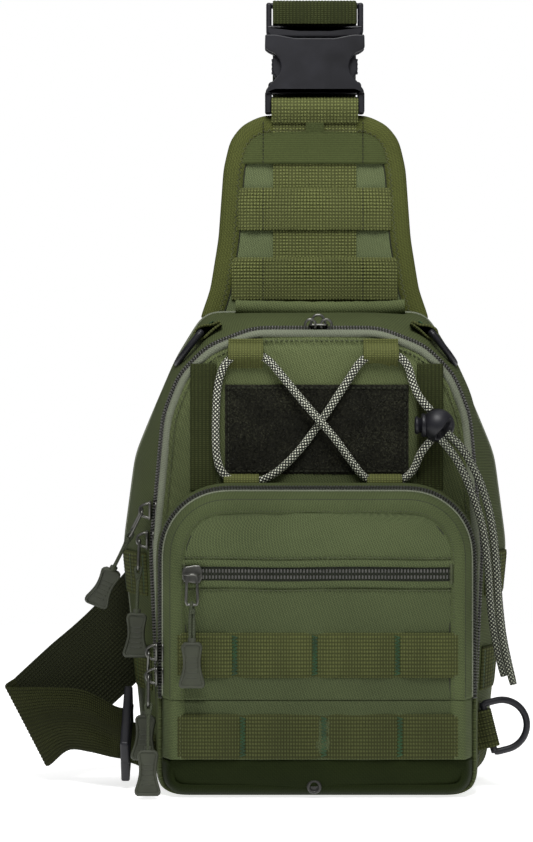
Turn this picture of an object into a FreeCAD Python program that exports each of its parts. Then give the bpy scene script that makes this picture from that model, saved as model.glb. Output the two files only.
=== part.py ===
import FreeCAD, Part
import math
import os
import re
import Sketcher

# A chest sling bag: millimetres, +Z up, the front faces -Y, the base rests on Z = 0.

os.makedirs("parts", exist_ok=True)
Vector = FreeCAD.Vector
doc = FreeCAD.newDocument("sling_bag")

driving = [
    ("front_half", 94, "front panel, half of its widest"),
    ("front_height", 266, "front panel, height"),
    ("back_half", 111, "back panel, half of its widest"),
    ("back_height", 276, "back panel, height"),
    ("widest_level", 140, "level of the widest point"),
    ("wall", 3, "gusset cloth and its foam"),
    ("gusset_front", -16, "front edge of the main gusset"),
    ("gusset_back", 38, "back edge of the main gusset"),
    ("back_thick", 5, "back panel"),
    ("panel_front", -26, "front face of the front panel"),
    ("panel_thick", 4, "front panel"),
    ("rim_depth", 2.85, "one zip tape of the main zip, front to back"),
    ("rim_wall", 2.4, "zip tape, sideways"),
    ("pocket_half", 88, "front pocket, half width"),
    ("pocket_top", 174, "front pocket, top"),
    ("pocket_foot", 1.5, "front pocket, foot"),
    ("pocket_corner", 35, "front pocket, radius of its upper corners"),
    ("pocket_face", -60, "front face of the pocket"),
    ("pocket_wall", 2.5, "pocket cloth"),
    ("pocket_zip", -47, "line of the pocket zip"),
    ("flap_level", 56, "where the pocket zip ends and the flap folds"),
    ("tape_depth", 1.35, "one zip tape of the pocket zip"),
    ("webbing", 25, "narrow webbing"),
    ("strap", 50, "strap webbing"),
    ("web_thick", 1.6, "webbing"),
    ("pad_front", 43.5, "front face of the shoulder pad"),
    ("pad_thick", 8.5, "shoulder pad"),
    ("pad_foot", 273, "foot of the shoulder pad"),
    ("pad_top", 397.5, "top of the shoulder pad"),
    ("pad_half", 69, "shoulder pad, half width at its foot"),
    ("buckle_half", 30, "buckle, half width"),
    ("buckle_foot", 399, "foot of the buckle's female half"),
    ("buckle_mouth", 446, "mouth of the buckle's female half"),
    ("buckle_top", 464, "top of the buckle's male half"),
    ("buckle_front", 36, "front face of the buckle"),
    ("buckle_thick", 14, "buckle"),
    ("cord", 4.6, "shock cord"),
    ("lock_ball", 19, "cord lock"),
    ("ring_wire", 4, "wire of a D ring"),
    ("ring_width", 33, "D ring, outside width"),
    ("ring_straight", 8, "straight side of a D ring"),
    ("pull_length", 69, "zip pull from its slider to its tip"),
    ("grip_width", 15.5, "rubber grip of a zip pull"),
    ("grip_length", 26, "rubber grip of a zip pull"),
    ("grip_thick", 4, "rubber grip of a zip pull"),
    ("handle_roll", 9.6, "rolled grab handle, across"),
    ("gap", 0.3, "clearance between pieces that move apart"),
]
sizes = doc.addObject("Spreadsheet::Sheet", "sizes")
for row, (alias, value, meaning) in enumerate(driving, 1):
    sizes.set("A%d" % row, alias)
    sizes.set("B%d" % row, str(value))
    sizes.set("C%d" % row, meaning)
    sizes.setAlias("B%d" % row, alias)
doc.recompute()

# outlines: the right side from the foot up, as (half width, level)
front_outline = [
    ("front_half * 0.81", "0"),
    ("front_half * 0.94", "12"),
    ("front_half", "widest_level"),
    ("front_half * 0.925", "front_height * 0.816"),
    ("front_half * 0.83", "front_height * 0.902"),
    ("front_half * 0.66", "front_height * 0.962"),
    ("front_half * 0.383", "front_height"),
]
back_outline = [
    ("back_half * 0.775", "0"),
    ("back_half * 0.883", "10"),
    ("back_half", "widest_level"),
    ("back_half * 0.937", "back_height * 0.699"),
    ("back_half * 0.856", "back_height * 0.779"),
    ("back_half * 0.72", "back_height * 0.906"),
    ("back_half * 0.577", "back_height"),
]
back_pad_outline = [
    ("back_half * 0.65", "14"),
    ("back_half * 0.8", "28"),
    ("back_half * 0.87", "widest_level"),
    ("back_half * 0.78", "back_height * 0.71"),
    ("back_half * 0.5", "back_height * 0.92"),
]
pad_outline = [
    ("pad_half", "pad_foot"),
    ("pad_half * 0.9", "293"),
    ("pad_half * 0.826", "324"),
    ("pad_half * 0.783", "366"),
    ("pad_half * 0.725", "383"),
    ("pad_half * 0.62", "392"),
    ("pad_half * 0.45", "pad_top"),
]
pocket_outline = [("pocket_half", "pocket_foot"), ("pocket_half", "pocket_top")]
nodes = []


def size(text):
    """The value of a formula written in the sheet's names."""
    return float(sizes.evalExpression(str(text)))


def bound(text):
    """The same formula, as an object outside the sheet has to write it."""
    return re.sub(r"[a-z][a-z_]+", r"sizes.\g<0>", str(text))


def part(kind, name, **values):
    piece = doc.addObject(kind, name)
    piece.Label = name
    for key, value in values.items():
        if isinstance(value, str) and key in ("Length", "Width", "Height", "Radius", "LengthFwd", "Value"):
            piece.setExpression(key, bound(value))
        else:
            setattr(piece, key, value)
    return piece


def keep(piece, name):
    """Makes a piece one of the bag's named nodes."""
    piece.Label = name
    nodes.append(piece)
    return piece


def sketch(name, right_side, y):
    """A closed outline that faces the front, the same on both sides of X = 0, at depth y."""
    profile = part("Sketcher::SketchObject", name)
    profile.Placement = FreeCAD.Placement(Vector(), FreeCAD.Rotation(Vector(1, 0, 0), 90))
    profile.setExpression("Placement.Base.y", bound(y))
    corners = list(right_side) + [("-1 * (%s)" % x, z) for x, z in reversed(right_side)]
    spots = [Vector(size(x), size(z), 0) for x, z in corners]
    for start, end in zip(spots, spots[1:] + spots[:1]):
        profile.addGeometry(Part.LineSegment(start, end))
    for k, (x, z) in enumerate(corners):
        profile.addConstraint(Sketcher.Constraint("Coincident", k, 2, (k + 1) % len(corners), 1))
        for kind, formula in (("DistanceX", x), ("DistanceY", z)):
            number = profile.addConstraint(Sketcher.Constraint(kind, k, 1, size(formula)))
            profile.setExpression("Constraints[%d]" % number, bound(formula))
    return profile


def plate(name, right_side, back, thick):
    """An outline given thickness, from its back face forwards."""
    profile = sketch(name + "_outline", right_side, back)
    return part("Part::Extrusion", name, Base=profile, DirMode="Normal", LengthFwd=thick, Solid=True)


def rim(name, right_side, back, depth, wall):
    """A closed strip that follows an outline, its width inwards."""
    profile = sketch(name + "_outline", right_side, back)
    band = part("Part::Offset2D", name + "_band", Source=profile, Join=2, Fill=True)
    band.setExpression("Value", bound("-1 * (%s)" % wall))
    return part("Part::Extrusion", name, Base=band, DirMode="Normal", LengthFwd=depth, Solid=True)


def block(name, x, y, z):
    """A box between two formulas along each axis."""
    box = part("Part::Box", name)
    for key, letter, (low, high) in (("Length", "x", x), ("Width", "y", y), ("Height", "z", z)):
        box.setExpression(key, bound("(%s) - (%s)" % (high, low)))
        box.setExpression("Placement.Base." + letter, bound(low))
    return box


def cut(name, base, tool):
    return part("Part::Cut", name, Base=base, Tool=tool)


def common(name, base, tool):
    return part("Part::Common", name, Base=base, Tool=tool)


def fused(name, *pieces):
    return part("Part::MultiFuse", name, Shapes=list(pieces))


def rounded(name, base, radius, above):
    """Rounds the front-to-back edges of a plate that lie above a level."""
    doc.recompute()
    chosen = []
    for number, edge in enumerate(base.Shape.Edges, 1):
        ends = [vertex.Point for vertex in edge.Vertexes]
        along = len(ends) == 2 and (ends[1] - ends[0]).cross(Vector(0, 1, 0)).Length < 0.001
        if along and ends[0].z > above:
            chosen.append((number, size(radius), size(radius)))
    return part("Part::Fillet", name, Base=base, Edges=chosen)


def solid(name, shape):
    """A piece whose form no sketch or primitive gives."""
    piece = part("Part::Feature", name)
    piece.Shape = shape
    return piece


def ribbon(name, pairs, thick):
    """Webbing through pairs of edge points, as thin four-cornered sections joined by flat stretches."""
    pairs = [(Vector(*a), Vector(*b)) for a, b in pairs]
    middles = [(a + b) * 0.5 for a, b in pairs]
    sections = []
    for k, (a, b) in enumerate(pairs):
        along = middles[min(k + 1, len(pairs) - 1)] - middles[max(k - 1, 0)]
        normal = (b - a).cross(along).normalize() * (size(thick) / 2)
        sections.append(Part.makePolygon([a + normal, b + normal, b - normal, a - normal, a + normal]))
    return solid(name, Part.makeLoft(sections, True, True))


def tube(name, route, across):
    """A cord along straight runs joined by tangent arcs, each as large as its two runs allow."""
    points = [Vector(*spot) for spot in route]
    edges, start, radii = [], points[0], []
    for before, corner, after in zip(points, points[1:], points[2:]):
        back, ahead = (before - corner), (after - corner)
        reach = 0.45 * min(back.Length, ahead.Length)
        half_turn = (math.pi - back.getAngle(ahead)) / 2
        radii.append(reach / math.tan(half_turn))
        enter = corner + back.normalize() * reach
        leave = corner + ahead.normalize() * reach
        bisector = (back + ahead).normalize()
        centre = corner + bisector * math.hypot(reach, radii[-1])
        middle = centre - bisector * radii[-1]
        edges.append(Part.LineSegment(start, enter).toShape())
        edges.append(Part.Arc(enter, middle, leave).toShape())
        start = leave
    edges.append(Part.LineSegment(start, points[-1]).toShape())
    path = Part.Wire(edges)
    radius = size(across) / 2
    circle = Part.Wire(Part.makeCircle(radius, points[0], points[1] - points[0]))
    shape = path.makePipeShell([circle], True, True)
    ideal = math.pi * radius ** 2 * path.Length
    print("%s: %.0f mm long, radii %s mm, volume %.3f of section x length" % (
        name, path.Length, ", ".join("%.0f" % r for r in radii), shape.Volume / ideal))
    return solid(name, shape)



# the main compartment: a gusset that widens to the back, its back panel and its inside pocket
def gusset_form(name, spread):
    """The gusset's outer form, as a solid that stands out from the cloth by spread."""
    faces = []
    for end, outline in (("front", front_outline), ("back", back_outline)):
        profile = sketch("%s_%s" % (name, end), outline, "gusset_" + end)
        if spread:
            grown = part("Part::Offset2D", "%s_%s_offset" % (name, end), Source=profile, Join=2)
            grown.setExpression("Value", bound(spread))
            profile = grown
        faces.append(profile)
    return part("Part::Loft", name, Sections=faces, Solid=True, Ruled=True)


gusset_outside = gusset_form("gusset_outside", None)
gusset_inside = gusset_form("gusset_inside", "-1 * wall")
# the floor is skimmed by a hundredth of a millimetre, which makes its underside a true flat face
floor_skim = block("floor_skim", ("-100", "100"), ("gusset_front - 5", "gusset_back + 5"), ("-5", "0.01"))
keep(cut("main_gusset_form", cut("main_gusset_shell", gusset_outside, gusset_inside), floor_skim), "main_gusset")
keep(plate("back_panel_form", back_outline, "gusset_back + back_thick", "back_thick"), "back_panel")
keep(plate("back_pad_form", back_pad_outline, "gusset_back + back_thick + 7.5", "7.5"), "back_pad")
keep(rim("rear_tape_form", front_outline, "gusset_front", "rim_depth", "rim_wall"), "main_zip_rear_tape")
keep(block("inner_form", ("-70", "70"), ("gusset_back - 2", "gusset_back"), ("20", "150")), "inner_pocket")


def side_rows(name, low_x, high_x):
    """Three rows of narrow webbing sewn round one side of the gusset."""
    shell = cut(name + "_shell", gusset_form(name + "_outside", "web_thick"), gusset_outside)
    bands = []
    for number, foot in enumerate((6, 57, 112)):
        levels = (str(foot), "%d + webbing" % foot)
        bands.append(block("%s_band_%d" % (name, number), (low_x, high_x), ("0", "gusset_back - 1"), levels))
    return common(name + "_form", shell, fused(name + "_bands", *bands))


keep(side_rows("left_rows", "-125", "-80"), "side_webbing_left")
keep(side_rows("right_rows", "80", "125"), "side_webbing_right")

# the front panel and what is sewn on it
keep(plate("front_form", front_outline, "panel_front + panel_thick", "panel_thick"), "main_front_panel")
keep(rim("front_tape_form", front_outline, "panel_front + panel_thick + rim_depth",
         "rim_depth", "rim_wall"), "main_zip_front_tape")
keep(block("patch_form", ("-53", "53"), ("panel_front - 2", "panel_front"), ("183", "235")), "patch_field")
strips = [block("strip_%s" % side, x, ("panel_front - 1.5", "panel_front"), ("pocket_top + 1", "246"))
          for side, x in (("left", ("-73", "-58")), ("right", ("58", "73")))]
keep(fused("strips_form", *strips), "side_strips")


# the front pocket: a tub on the front panel, and a flap that its zip opens
def pocket_slab(name, back, depth, inset):
    """The pocket's outline as a slab, smaller by inset all round."""
    foot = "pocket_foot + %s" % inset
    outline = [("pocket_half - %s" % inset, foot), ("pocket_half - %s" % inset, "pocket_top - %s" % inset)]
    slab = plate(name + "_square", outline, back, depth)
    return rounded(name, slab, "pocket_corner - %s" % inset, 100)


def above_flap_line(name, piece):
    return common(name, piece, block(name + "_upper", ("-100", "100"), ("-90", "0"), ("flap_level + gap", "200")))


def below_flap_line(name, piece):
    return common(name, piece, block(name + "_lower", ("-100", "100"), ("-90", "0"), ("-1", "flap_level")))


pocket_back = "panel_front"
zip_back = "pocket_zip + gap / 2 + tape_depth"
zip_front = "pocket_zip - gap / 2 - tape_depth"
gusset_ring = cut("pocket_ring",
                  pocket_slab("pocket_ring_out", pocket_back, "panel_front - (%s)" % zip_back, "0"),
                  pocket_slab("pocket_ring_in", pocket_back, "panel_front - (%s)" % zip_back, "pocket_wall"))
keep(gusset_ring, "pocket_gusset")
shell = cut("pocket_shell",
            pocket_slab("pocket_shell_out", zip_front, "(%s) - pocket_face" % zip_front, "0"),
            pocket_slab("pocket_shell_in", zip_front, "(%s) - pocket_face - pocket_wall" % zip_front, "pocket_wall"))
keep(above_flap_line("flap_form", shell), "pocket_flap")
tub = cut("pocket_tub",
          pocket_slab("pocket_tub_out", zip_back, "(%s) - pocket_face" % zip_back, "0"),
          pocket_slab("pocket_tub_in", zip_back, "(%s) - pocket_face - pocket_wall" % zip_back, "pocket_wall"))
keep(below_flap_line("lower_face_form", tub), "pocket_lower_face")


def pocket_tape(name, back):
    ring = cut(name + "_ring", pocket_slab(name + "_out", back, "tape_depth", "0.2"),
               pocket_slab(name + "_in", back, "tape_depth", "3"))
    return above_flap_line(name, ring)


keep(pocket_tape("pocket_rear_tape_form", zip_back), "pocket_zip_rear_tape")
keep(pocket_tape("pocket_front_tape_form", "pocket_zip - gap / 2"), "pocket_zip_front_tape")
small_zip_levels = ("121", "134")
keep(block("small_zip_form", ("-76", "76"), ("pocket_face - 1.4", "pocket_face"), small_zip_levels), "small_zip")
keep(block("liner_form", ("-78", "78"), ("pocket_face + pocket_wall", "pocket_face + pocket_wall + 1"),
           ("62", "136")), "small_pocket_liner")
row_depth = ("pocket_face - web_thick - 0.6", "pocket_face")
keep(block("upper_row_form", ("-80", "80"), row_depth, ("69", "69 + webbing")), "face_webbing_upper")
keep(block("lower_row_form", ("-80", "80"), row_depth, ("23", "23 + webbing")), "face_webbing_lower")
eyelet_form = part("Part::Torus", "eyelet_form", Radius1=3.2, Radius2=0.8)
eyelet_form.Placement = FreeCAD.Placement(Vector(-2, size("pocket_face") - 0.8, 7), FreeCAD.Rotation(Vector(1, 0, 0), 90))
keep(eyelet_form, "drain_eyelet")

# the shock cord lace, its loops, its lock and its two loose ends
upper_level = 253
lower_level = 178.5
lace_y = size("panel_front") - 4.7
over_y = lace_y - size("cord") - 0.6
loops = []
for number, (x, level) in enumerate(((-41, upper_level), (37, upper_level), (-43.5, lower_level), (39, lower_level))):
    box = block("loop_%d" % number, (str(x - 10), str(x + 10)), (str(lace_y - 3.6), "panel_front"),
                (str(level - 3.7), str(level + 3.7)))
    hole = part("Part::Cylinder", "loop_hole_%d" % number, Radius=size("cord") / 2 + 0.1, Height=22)
    hole.Placement = FreeCAD.Placement(Vector(x - 11, lace_y, level), FreeCAD.Rotation(Vector(0, 1, 0), 90))
    loops.append(cut("loop_cut_%d" % number, box, hole))
keep(fused("loops_form", *loops), "lace_loops")

lock_centre = (69.5, size("panel_front") - 11.5, 211.5)
lace_route = [
    (65.5, -38, 219.8), (59.5, -35.5, 226), (55, -32, 236), (53, lace_y, 246), (46, lace_y, upper_level),
    (28, lace_y, upper_level), (17, lace_y, 236), (3, lace_y, 214.5), (-12, lace_y, 194),
    (-30, lace_y, lower_level), (-50, lace_y, lower_level), (-58, lace_y, 189),
    (-58.5, lace_y, 214), (-57, lace_y, 240), (-49, lace_y, upper_level),
    (-31, lace_y, upper_level), (-20, -33, 240), (-8, over_y, 225), (9, over_y, 206), (19, -33, 192),
    (29, lace_y, lower_level), (48, lace_y, lower_level), (56.5, lace_y, 186), (59.5, -34.5, 196.5),
    (65.5, -38, 203.2),
]
keep(tube("lace_form", lace_route, "cord"), "lace_cord")
ball = part("Part::Sphere", "lock_ball_form")
ball.setExpression("Radius", bound("lock_ball / 2"))
ball.Placement.Base = Vector(*lock_centre)
socket = part("Part::Cylinder", "lock_socket", Radius=5.6, Height=14)
socket.Placement = FreeCAD.Placement(Vector(lock_centre[0] - 10, lock_centre[1], lock_centre[2]),
                                     FreeCAD.Rotation(Vector(0, 1, 0), 90))
keep(cut("lock_form", ball, socket), "cord_lock_body")
button = part("Part::Cylinder", "lock_button_form", Radius=5.2, Height=13)
button.Placement = FreeCAD.Placement(Vector(lock_centre[0] - 13.4, lock_centre[1], lock_centre[2]),
                                     FreeCAD.Rotation(Vector(0, 1, 0), 90))
keep(button, "cord_lock_button")

tail_a_route = [
    (74, -45, 207), (80, -46.5, 202), (87, -45.5, 192), (94, -43, 178), (100, -40, 158),
    (103, -37.5, 132), (104.5, -36, 108), (107.5, -35, 84), (113, -34.5, 62.5),
]
tail_b_route = [
    (70.5, -46.5, 203.5), (76, -48, 197.5), (82.5, -47, 187), (88.5, -45, 173), (95, -42, 154),
    (98.2, -39.5, 131), (99.5, -37.5, 108), (103, -31.5, 86), (108, -29.5, 67),
]
keep(tube("tail_a_form", tail_a_route, "cord"), "cord_tail_a")
keep(tube("tail_b_form", tail_b_route, "cord"), "cord_tail_b")


# zip sliders and their pulls
def slider(name, x, y, z, turn):
    """Two plates with a bridge that stands out forwards; the zip runs up and down before the turn."""
    shell = Part.makeBox(9, 2, 11, Vector(-4.5, -1, -5.5))
    crown = Part.makeBox(6.5, 1.4, 9, Vector(-3.25, -3, -4.5))
    neck = Part.makeBox(2.4, 1.2, 3, Vector(-1.2, -1.8, 1.5))
    bridge = Part.makeTorus(2, 0.6, Vector(0, -2.9, 0), Vector(1, 0, 0))
    outer = bridge.common(Part.makeBox(4, 4, 9, Vector(-2, -6.4, -4.5)))
    piece = solid(name + "_form", shell.fuse([crown, neck, outer]).removeSplitter())
    piece.Placement = FreeCAD.Placement(Vector(x, y, z), turn)
    return keep(piece, name)


def pull(name, x, y, z, turn, drop, grip_turn):
    """A wire bail that hangs from one point, then a short cord and a waisted rubber grip that may hang at another slant."""
    wire, long = 1.6, size("pull_length")
    grip, wide, thick = size("grip_length"), size("grip_width"), size("grip_thick")
    bail_length, bail_width = 29, 7
    bail = Part.makeBox(bail_width, wire, bail_length, Vector(-bail_width / 2, -wire / 2, -bail_length))
    bail = bail.cut(Part.makeBox(bail_width - 2 * wire, wire * 2, bail_length - 2 * wire,
                                 Vector(wire - bail_width / 2, -wire, wire - bail_length)))
    low = bail_length - long - wire / 2
    line = Part.makeCylinder(1.3, 1 - low - grip + wire / 2, Vector(0, 0, low + grip - 1))
    body = Part.makeBox(wide, thick, grip, Vector(-wide / 2, -thick / 2, low))
    for side in (-1, 1):
        hollow = Vector(side * (wide / 2 + grip * 0.3), -thick, low + grip / 2)
        body = body.cut(Part.makeCylinder(grip * 0.42, thick * 2, hollow, Vector(0, 1, 0)))
    body.rotate(Vector(), Vector(0, 0, 1), grip_turn)
    hung = line.fuse(body)
    hung.Placement = FreeCAD.Placement(turn.multVec(Vector(0, 0, wire / 2 - bail_length)), drop)
    bail.Placement = FreeCAD.Placement(Vector(), turn)
    piece = solid(name + "_form", bail.fuse(hung).removeSplitter())
    piece.Placement = FreeCAD.Placement(Vector(x, y, z), FreeCAD.Rotation())
    return keep(piece, name)


def about(axis, angle):
    return FreeCAD.Rotation(Vector(*axis), angle)


to_left = about((0, 0, 1), -90)
along_x = about((0, 1, 0), 90)
bridge_reach = 6.6
# each side zip slider: its place, then how far its bail and its grip lean back and its pull leans out
zip_pieces = {
    "main_upper": ((-94.6, -19, 162), 24, 24, 25),
    "main_lower": ((-96.2, -19, 145), 0, 0, 2),
    "pocket_upper": ((-89.6, -47, 82), 34, -10, 3),
    "pocket_lower": ((-89.6, -47, 68.5), -14, -14, 0),
}
for name, ((x, y, z), bail_lean, drop_lean, outward) in zip_pieces.items():
    slider(name + "_slider", x, y, z, to_left)
    sideways = about((0, 1, 0), outward) * to_left
    pull(name + "_pull", x - bridge_reach, y, z, about((1, 0, 0), bail_lean) * sideways,
         about((1, 0, 0), drop_lean) * sideways, 90)
slider("small_zip_slider", -71, -62.9, 127.5, along_x)
pull("small_zip_pull", -71, -62.9 - bridge_reach, 127.5, FreeCAD.Rotation(), FreeCAD.Rotation(), 0)
slider("top_slider", 1, -19, size("front_height") + 1.6, about((0, 1, 0), 90) * about((0, 0, 1), -90))


# the D rings and their tabs
def ring_shape():
    """A straight bar along Y, two short sides and a half circle, towards +X."""
    wire = size("ring_wire") / 2
    reach = size("ring_width") / 2 - wire
    straight = size("ring_straight")
    bar = Part.makeCylinder(wire, 2 * reach, Vector(0, -reach, 0), Vector(0, 1, 0))
    bow = Part.makeTorus(reach, wire, Vector(straight, 0, 0))
    bow = bow.common(Part.makeBox(40, 60, 10, Vector(straight, -30, -5)))
    sides = [Part.makeCylinder(wire, straight, Vector(0, side * reach, 0), Vector(1, 0, 0)) for side in (-1, 1)]
    corners = [Part.makeSphere(wire, Vector(0, side * reach, 0)) for side in (-1, 1)]
    return bar.fuse([bow] + sides + corners).removeSplitter()


def ring_tab(name, ring, span, width, lean):
    """Webbing folded round a ring's bar: it runs from the bar away from the ring, turned by lean."""
    bore = size("ring_wire") / 2 + 0.35
    loop = Part.makeCylinder(bore + 1.4, width, Vector(0, -width / 2, 0), Vector(0, 1, 0))
    tongue = Part.makeBox(span, width, 2 * size("web_thick"), Vector(-span - bore, -width / 2, -size("web_thick")))
    tongue.rotate(Vector(), Vector(0, 1, 0), lean)
    shape = loop.fuse(tongue).cut(Part.makeCylinder(bore, width + 2, Vector(0, -width / 2 - 1, 0), Vector(0, 1, 0)))
    piece = solid(name, shape.removeSplitter())
    piece.Placement = ring.Placement
    doc.recompute()
    shell_parts = [gusset_outside] + [node for node in nodes if node.Label == "side_webbing_right"]
    for number, other in enumerate(shell_parts):
        piece = cut("%s_%d" % (name, number), piece, other)
    return piece


ring_places = {
    "ring_top_right": FreeCAD.Placement(Vector(67.5, 3, 265.5), about((0, 1, 0), 51.5)),
    "ring_top_left": FreeCAD.Placement(Vector(-67.5, 3, 265.5), about((0, 1, 0), 180 - 51.5)),
    "ring_lower_right": FreeCAD.Placement(Vector(100.5, -12, 35), about((0, 1, 0), -14) * about((1, 0, 0), 90)),
}
tab_forms = {"ring_top_right": (14, -34.5), "ring_top_left": (14, 34.5), "ring_lower_right": (11, 0)}
tabs = []
for name, place in ring_places.items():
    ring = solid(name + "_form", ring_shape())
    ring.Placement = place
    keep(ring, name)
    span, lean = tab_forms[name]
    tabs.append(ring_tab("tab_" + name, ring, span, 22, lean))
keep(fused("top_tabs_form", tabs[0], tabs[1]), "ring_tabs_top")
keep(tabs[2], "ring_tab_lower")

# the grab handle: a rolled tube on two short feet
roll = part("Part::Cylinder", "roll_form", Height=100)
roll.setExpression("Radius", bound("handle_roll / 2"))
roll.Placement = FreeCAD.Placement(Vector(-47.5, 31, 284), about((0, 1, 0), 90))
feet = [block("handle_foot_%d" % number, (str(x), str(x + 14)), ("29.5", "32.5"), ("276.4", "281"))
        for number, x in enumerate((-41, 31))]
keep(fused("handle_form", roll, *feet), "grab_handle")

# the shoulder pad, its webbing, and the buckle on its top
pad_back = "pad_front + pad_thick"
keep(plate("pad_form", pad_outline, pad_back, "pad_thick"), "shoulder_pad")
column_depth = ("pad_front - web_thick", "pad_front")
keep(block("column_form", ("-strap / 2", "strap / 2"), column_depth, ("pad_foot + 4", "pad_top")), "pad_centre_webbing")
row_list = []
for number, (half, foot) in enumerate(((50, 287), (45, 329), (43, 369))):
    row_list.append(block("pad_row_%d" % number, (str(-half), str(half)),
                          ("pad_front - 2 * web_thick", "pad_front - web_thick"), (str(foot), "%d + webbing" % foot)))
keep(fused("pad_rows_form", *row_list), "pad_webbing_rows")


def body_block(body, name, x, y, z, additive=True):
    kind = "PartDesign::AdditiveBox" if additive else "PartDesign::SubtractiveBox"
    box = body.newObject(kind, name)
    for key, letter, (low, high) in (("Length", "x", x), ("Width", "y", y), ("Height", "z", z)):
        box.setExpression(key, bound("(%s) - (%s)" % (high, low)))
        box.setExpression("Placement.Base." + letter, bound(low))
    doc.recompute()
    return box


def softened(body, name, radius):
    """Rounds the upright edges of the body's tip that stand at its outer corners."""
    tip = body.Tip
    half = max(abs(tip.Shape.BoundBox.XMin), tip.Shape.BoundBox.XMax)
    names = []
    for number, edge in enumerate(tip.Shape.Edges, 1):
        ends = [vertex.Point for vertex in edge.Vertexes]
        if len(ends) == 2 and abs(ends[0].x - ends[1].x) < 0.01 and abs(ends[0].y - ends[1].y) < 0.01:
            if abs(abs(ends[0].x) - half) < 0.01:
                names.append("Edge%d" % number)
    fillet = body.newObject("PartDesign::Fillet", name)
    fillet.Base = (tip, names)
    fillet.Radius = radius
    doc.recompute()
    return fillet


buckle_depth = ("buckle_front", "buckle_front + buckle_thick")
inner_depth = ("buckle_front + 2.5", "buckle_front + buckle_thick - 2.5")
female = doc.addObject("PartDesign::Body", "female_form")
body_block(female, "female_shell", ("-buckle_half", "buckle_half"), buckle_depth, ("buckle_foot", "buckle_mouth"))
softened(female, "female_corners", 4)
body_block(female, "female_hollow", ("-27.5", "27.5"), inner_depth, ("buckle_foot + 16", "buckle_mouth + 1"), False)
body_block(female, "female_windows", ("-32", "32"), inner_depth, ("buckle_foot + 19", "buckle_mouth - 5"), False)
body_block(female, "female_slot", ("-26", "26"), ("buckle_front - 1", "buckle_front + buckle_thick + 1"),
           ("buckle_foot + 4", "buckle_foot + 12"), False)
keep(female, "buckle_female")
male = doc.addObject("PartDesign::Body", "male_form")
body_block(male, "male_frame", ("-28.5", "28.5"), ("buckle_front + 2", "buckle_front + buckle_thick - 2"),
           ("buckle_mouth + gap", "buckle_top - 1.5"))
softened(male, "male_corners", 2.5)
body_block(male, "male_slot", ("-26", "26"), ("buckle_front - 1", "buckle_front + buckle_thick + 1"),
           ("buckle_mouth + 7", "buckle_top - 5"), False)
body_block(male, "male_tongue", ("-9", "9"), ("buckle_front + 5", "buckle_front + buckle_thick - 5"),
           ("buckle_foot + 20", "buckle_mouth + 1"))
keep(male, "buckle_male")
for side, name in ((-1, "left"), (1, "right")):
    low, high = sorted((side * 14, side * 19))
    tip_low, tip_high = sorted((side * 14, side * 27))
    prong = doc.addObject("PartDesign::Body", "prong_form_" + name)
    prong_depth = ("buckle_front + 3.5", "buckle_front + buckle_thick - 3.5")
    body_block(prong, "prong_arm_" + name, (str(low), str(high)), prong_depth,
               ("buckle_foot + 20", "buckle_mouth - gap / 2"))
    body_block(prong, "prong_tip_" + name, (str(tip_low), str(tip_high)), prong_depth,
               ("buckle_foot + 20", "buckle_mouth - 9"))
    keep(prong, "buckle_prong_" + name)


# the sling strap: over the buckle, behind the pad, behind the bag, out to the left and back to its lock
def across(half, *route):
    """Edge pairs of a strap that runs along Y and Z, as wide as twice half."""
    return [((-half, y, z), (half, y, z)) for y, z in route]


half_strap = size("strap") / 2
keep(ribbon("top_loop_form", across(half_strap, (36.8, 455), (36.8, 464.8), (48.8, 464.8), (51.8, 452), (57, 434)),
            "web_thick"), "sling_top_loop")
keep(ribbon("upper_run_form", across(half_strap, (57.3, 432.5), (59.5, 415), (59, 380), (57.5, 340), (60, 300)),
            "web_thick"), "sling_upper_run")
lower_run = [
    ((-25, 63, 254), (25, 63, 254)),
    ((-31, 68, 226), (19, 68, 216)),
    ((-52, 70, 194), (-7, 70, 170)),
    ((-84, 68, 158), (-45, 68, 125)),
    ((-131, 56, 104), (-93, 56, 71)),
    ((-160, 38, 78), (-128, 38, 38)),
    ((-182, 21, 57), (-158, 21, 10)),
]
keep(ribbon("lower_run_form", lower_run, "web_thick"), "sling_lower_run")
front_run = [
    ((-181, 17, 56), (-157, 17, 10)),
    ((-160, 14, 56), (-146, 8, 20)),
    ((-138, 16, 54), (-132, -8, 21)),
    ((-117, 22, 43), (-117, -18, 19)),
]
keep(ribbon("front_run_form", front_run, "web_thick"), "sling_front_run")


def lock_frame():
    """A ladder lock lying in its own XY plane: an outer frame 58 by 28 with one middle bar."""
    frame = Part.makeBox(58, 28, 5, Vector(-29, -14, -2.5))
    for foot in (-10.5, 1.5):
        frame = frame.cut(Part.makeBox(51, 9, 8, Vector(-25.5, foot, -4)))
    return frame


lock_turn = FreeCAD.Rotation(Vector(0, 0.866, 0.5), Vector(0, -0.5, 0.866), Vector(1, 0, 0), "XYZ")
ladder = solid("ladder_form", lock_frame())
ladder.Placement = FreeCAD.Placement(Vector(-111, 2, 30.5), lock_turn)
keep(ladder, "ladder_lock")
tab_run = [
    ((-91, 18, 28), (-91, -14, 10)),
    ((-99, 19, 32), (-99, -15, 12)),
    ((-107.2, 20, 34), (-107.2, -14, 15)),
]
lock_tab = ribbon("lock_tab_run", tab_run, "web_thick")
lock_tab = cut("lock_tab_gusset", lock_tab, gusset_outside)
lock_tab = cut("lock_tab_webbing", lock_tab, [node for node in nodes if node.Label == "side_webbing_left"][0])
keep(lock_tab, "ladder_lock_tab")

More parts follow.
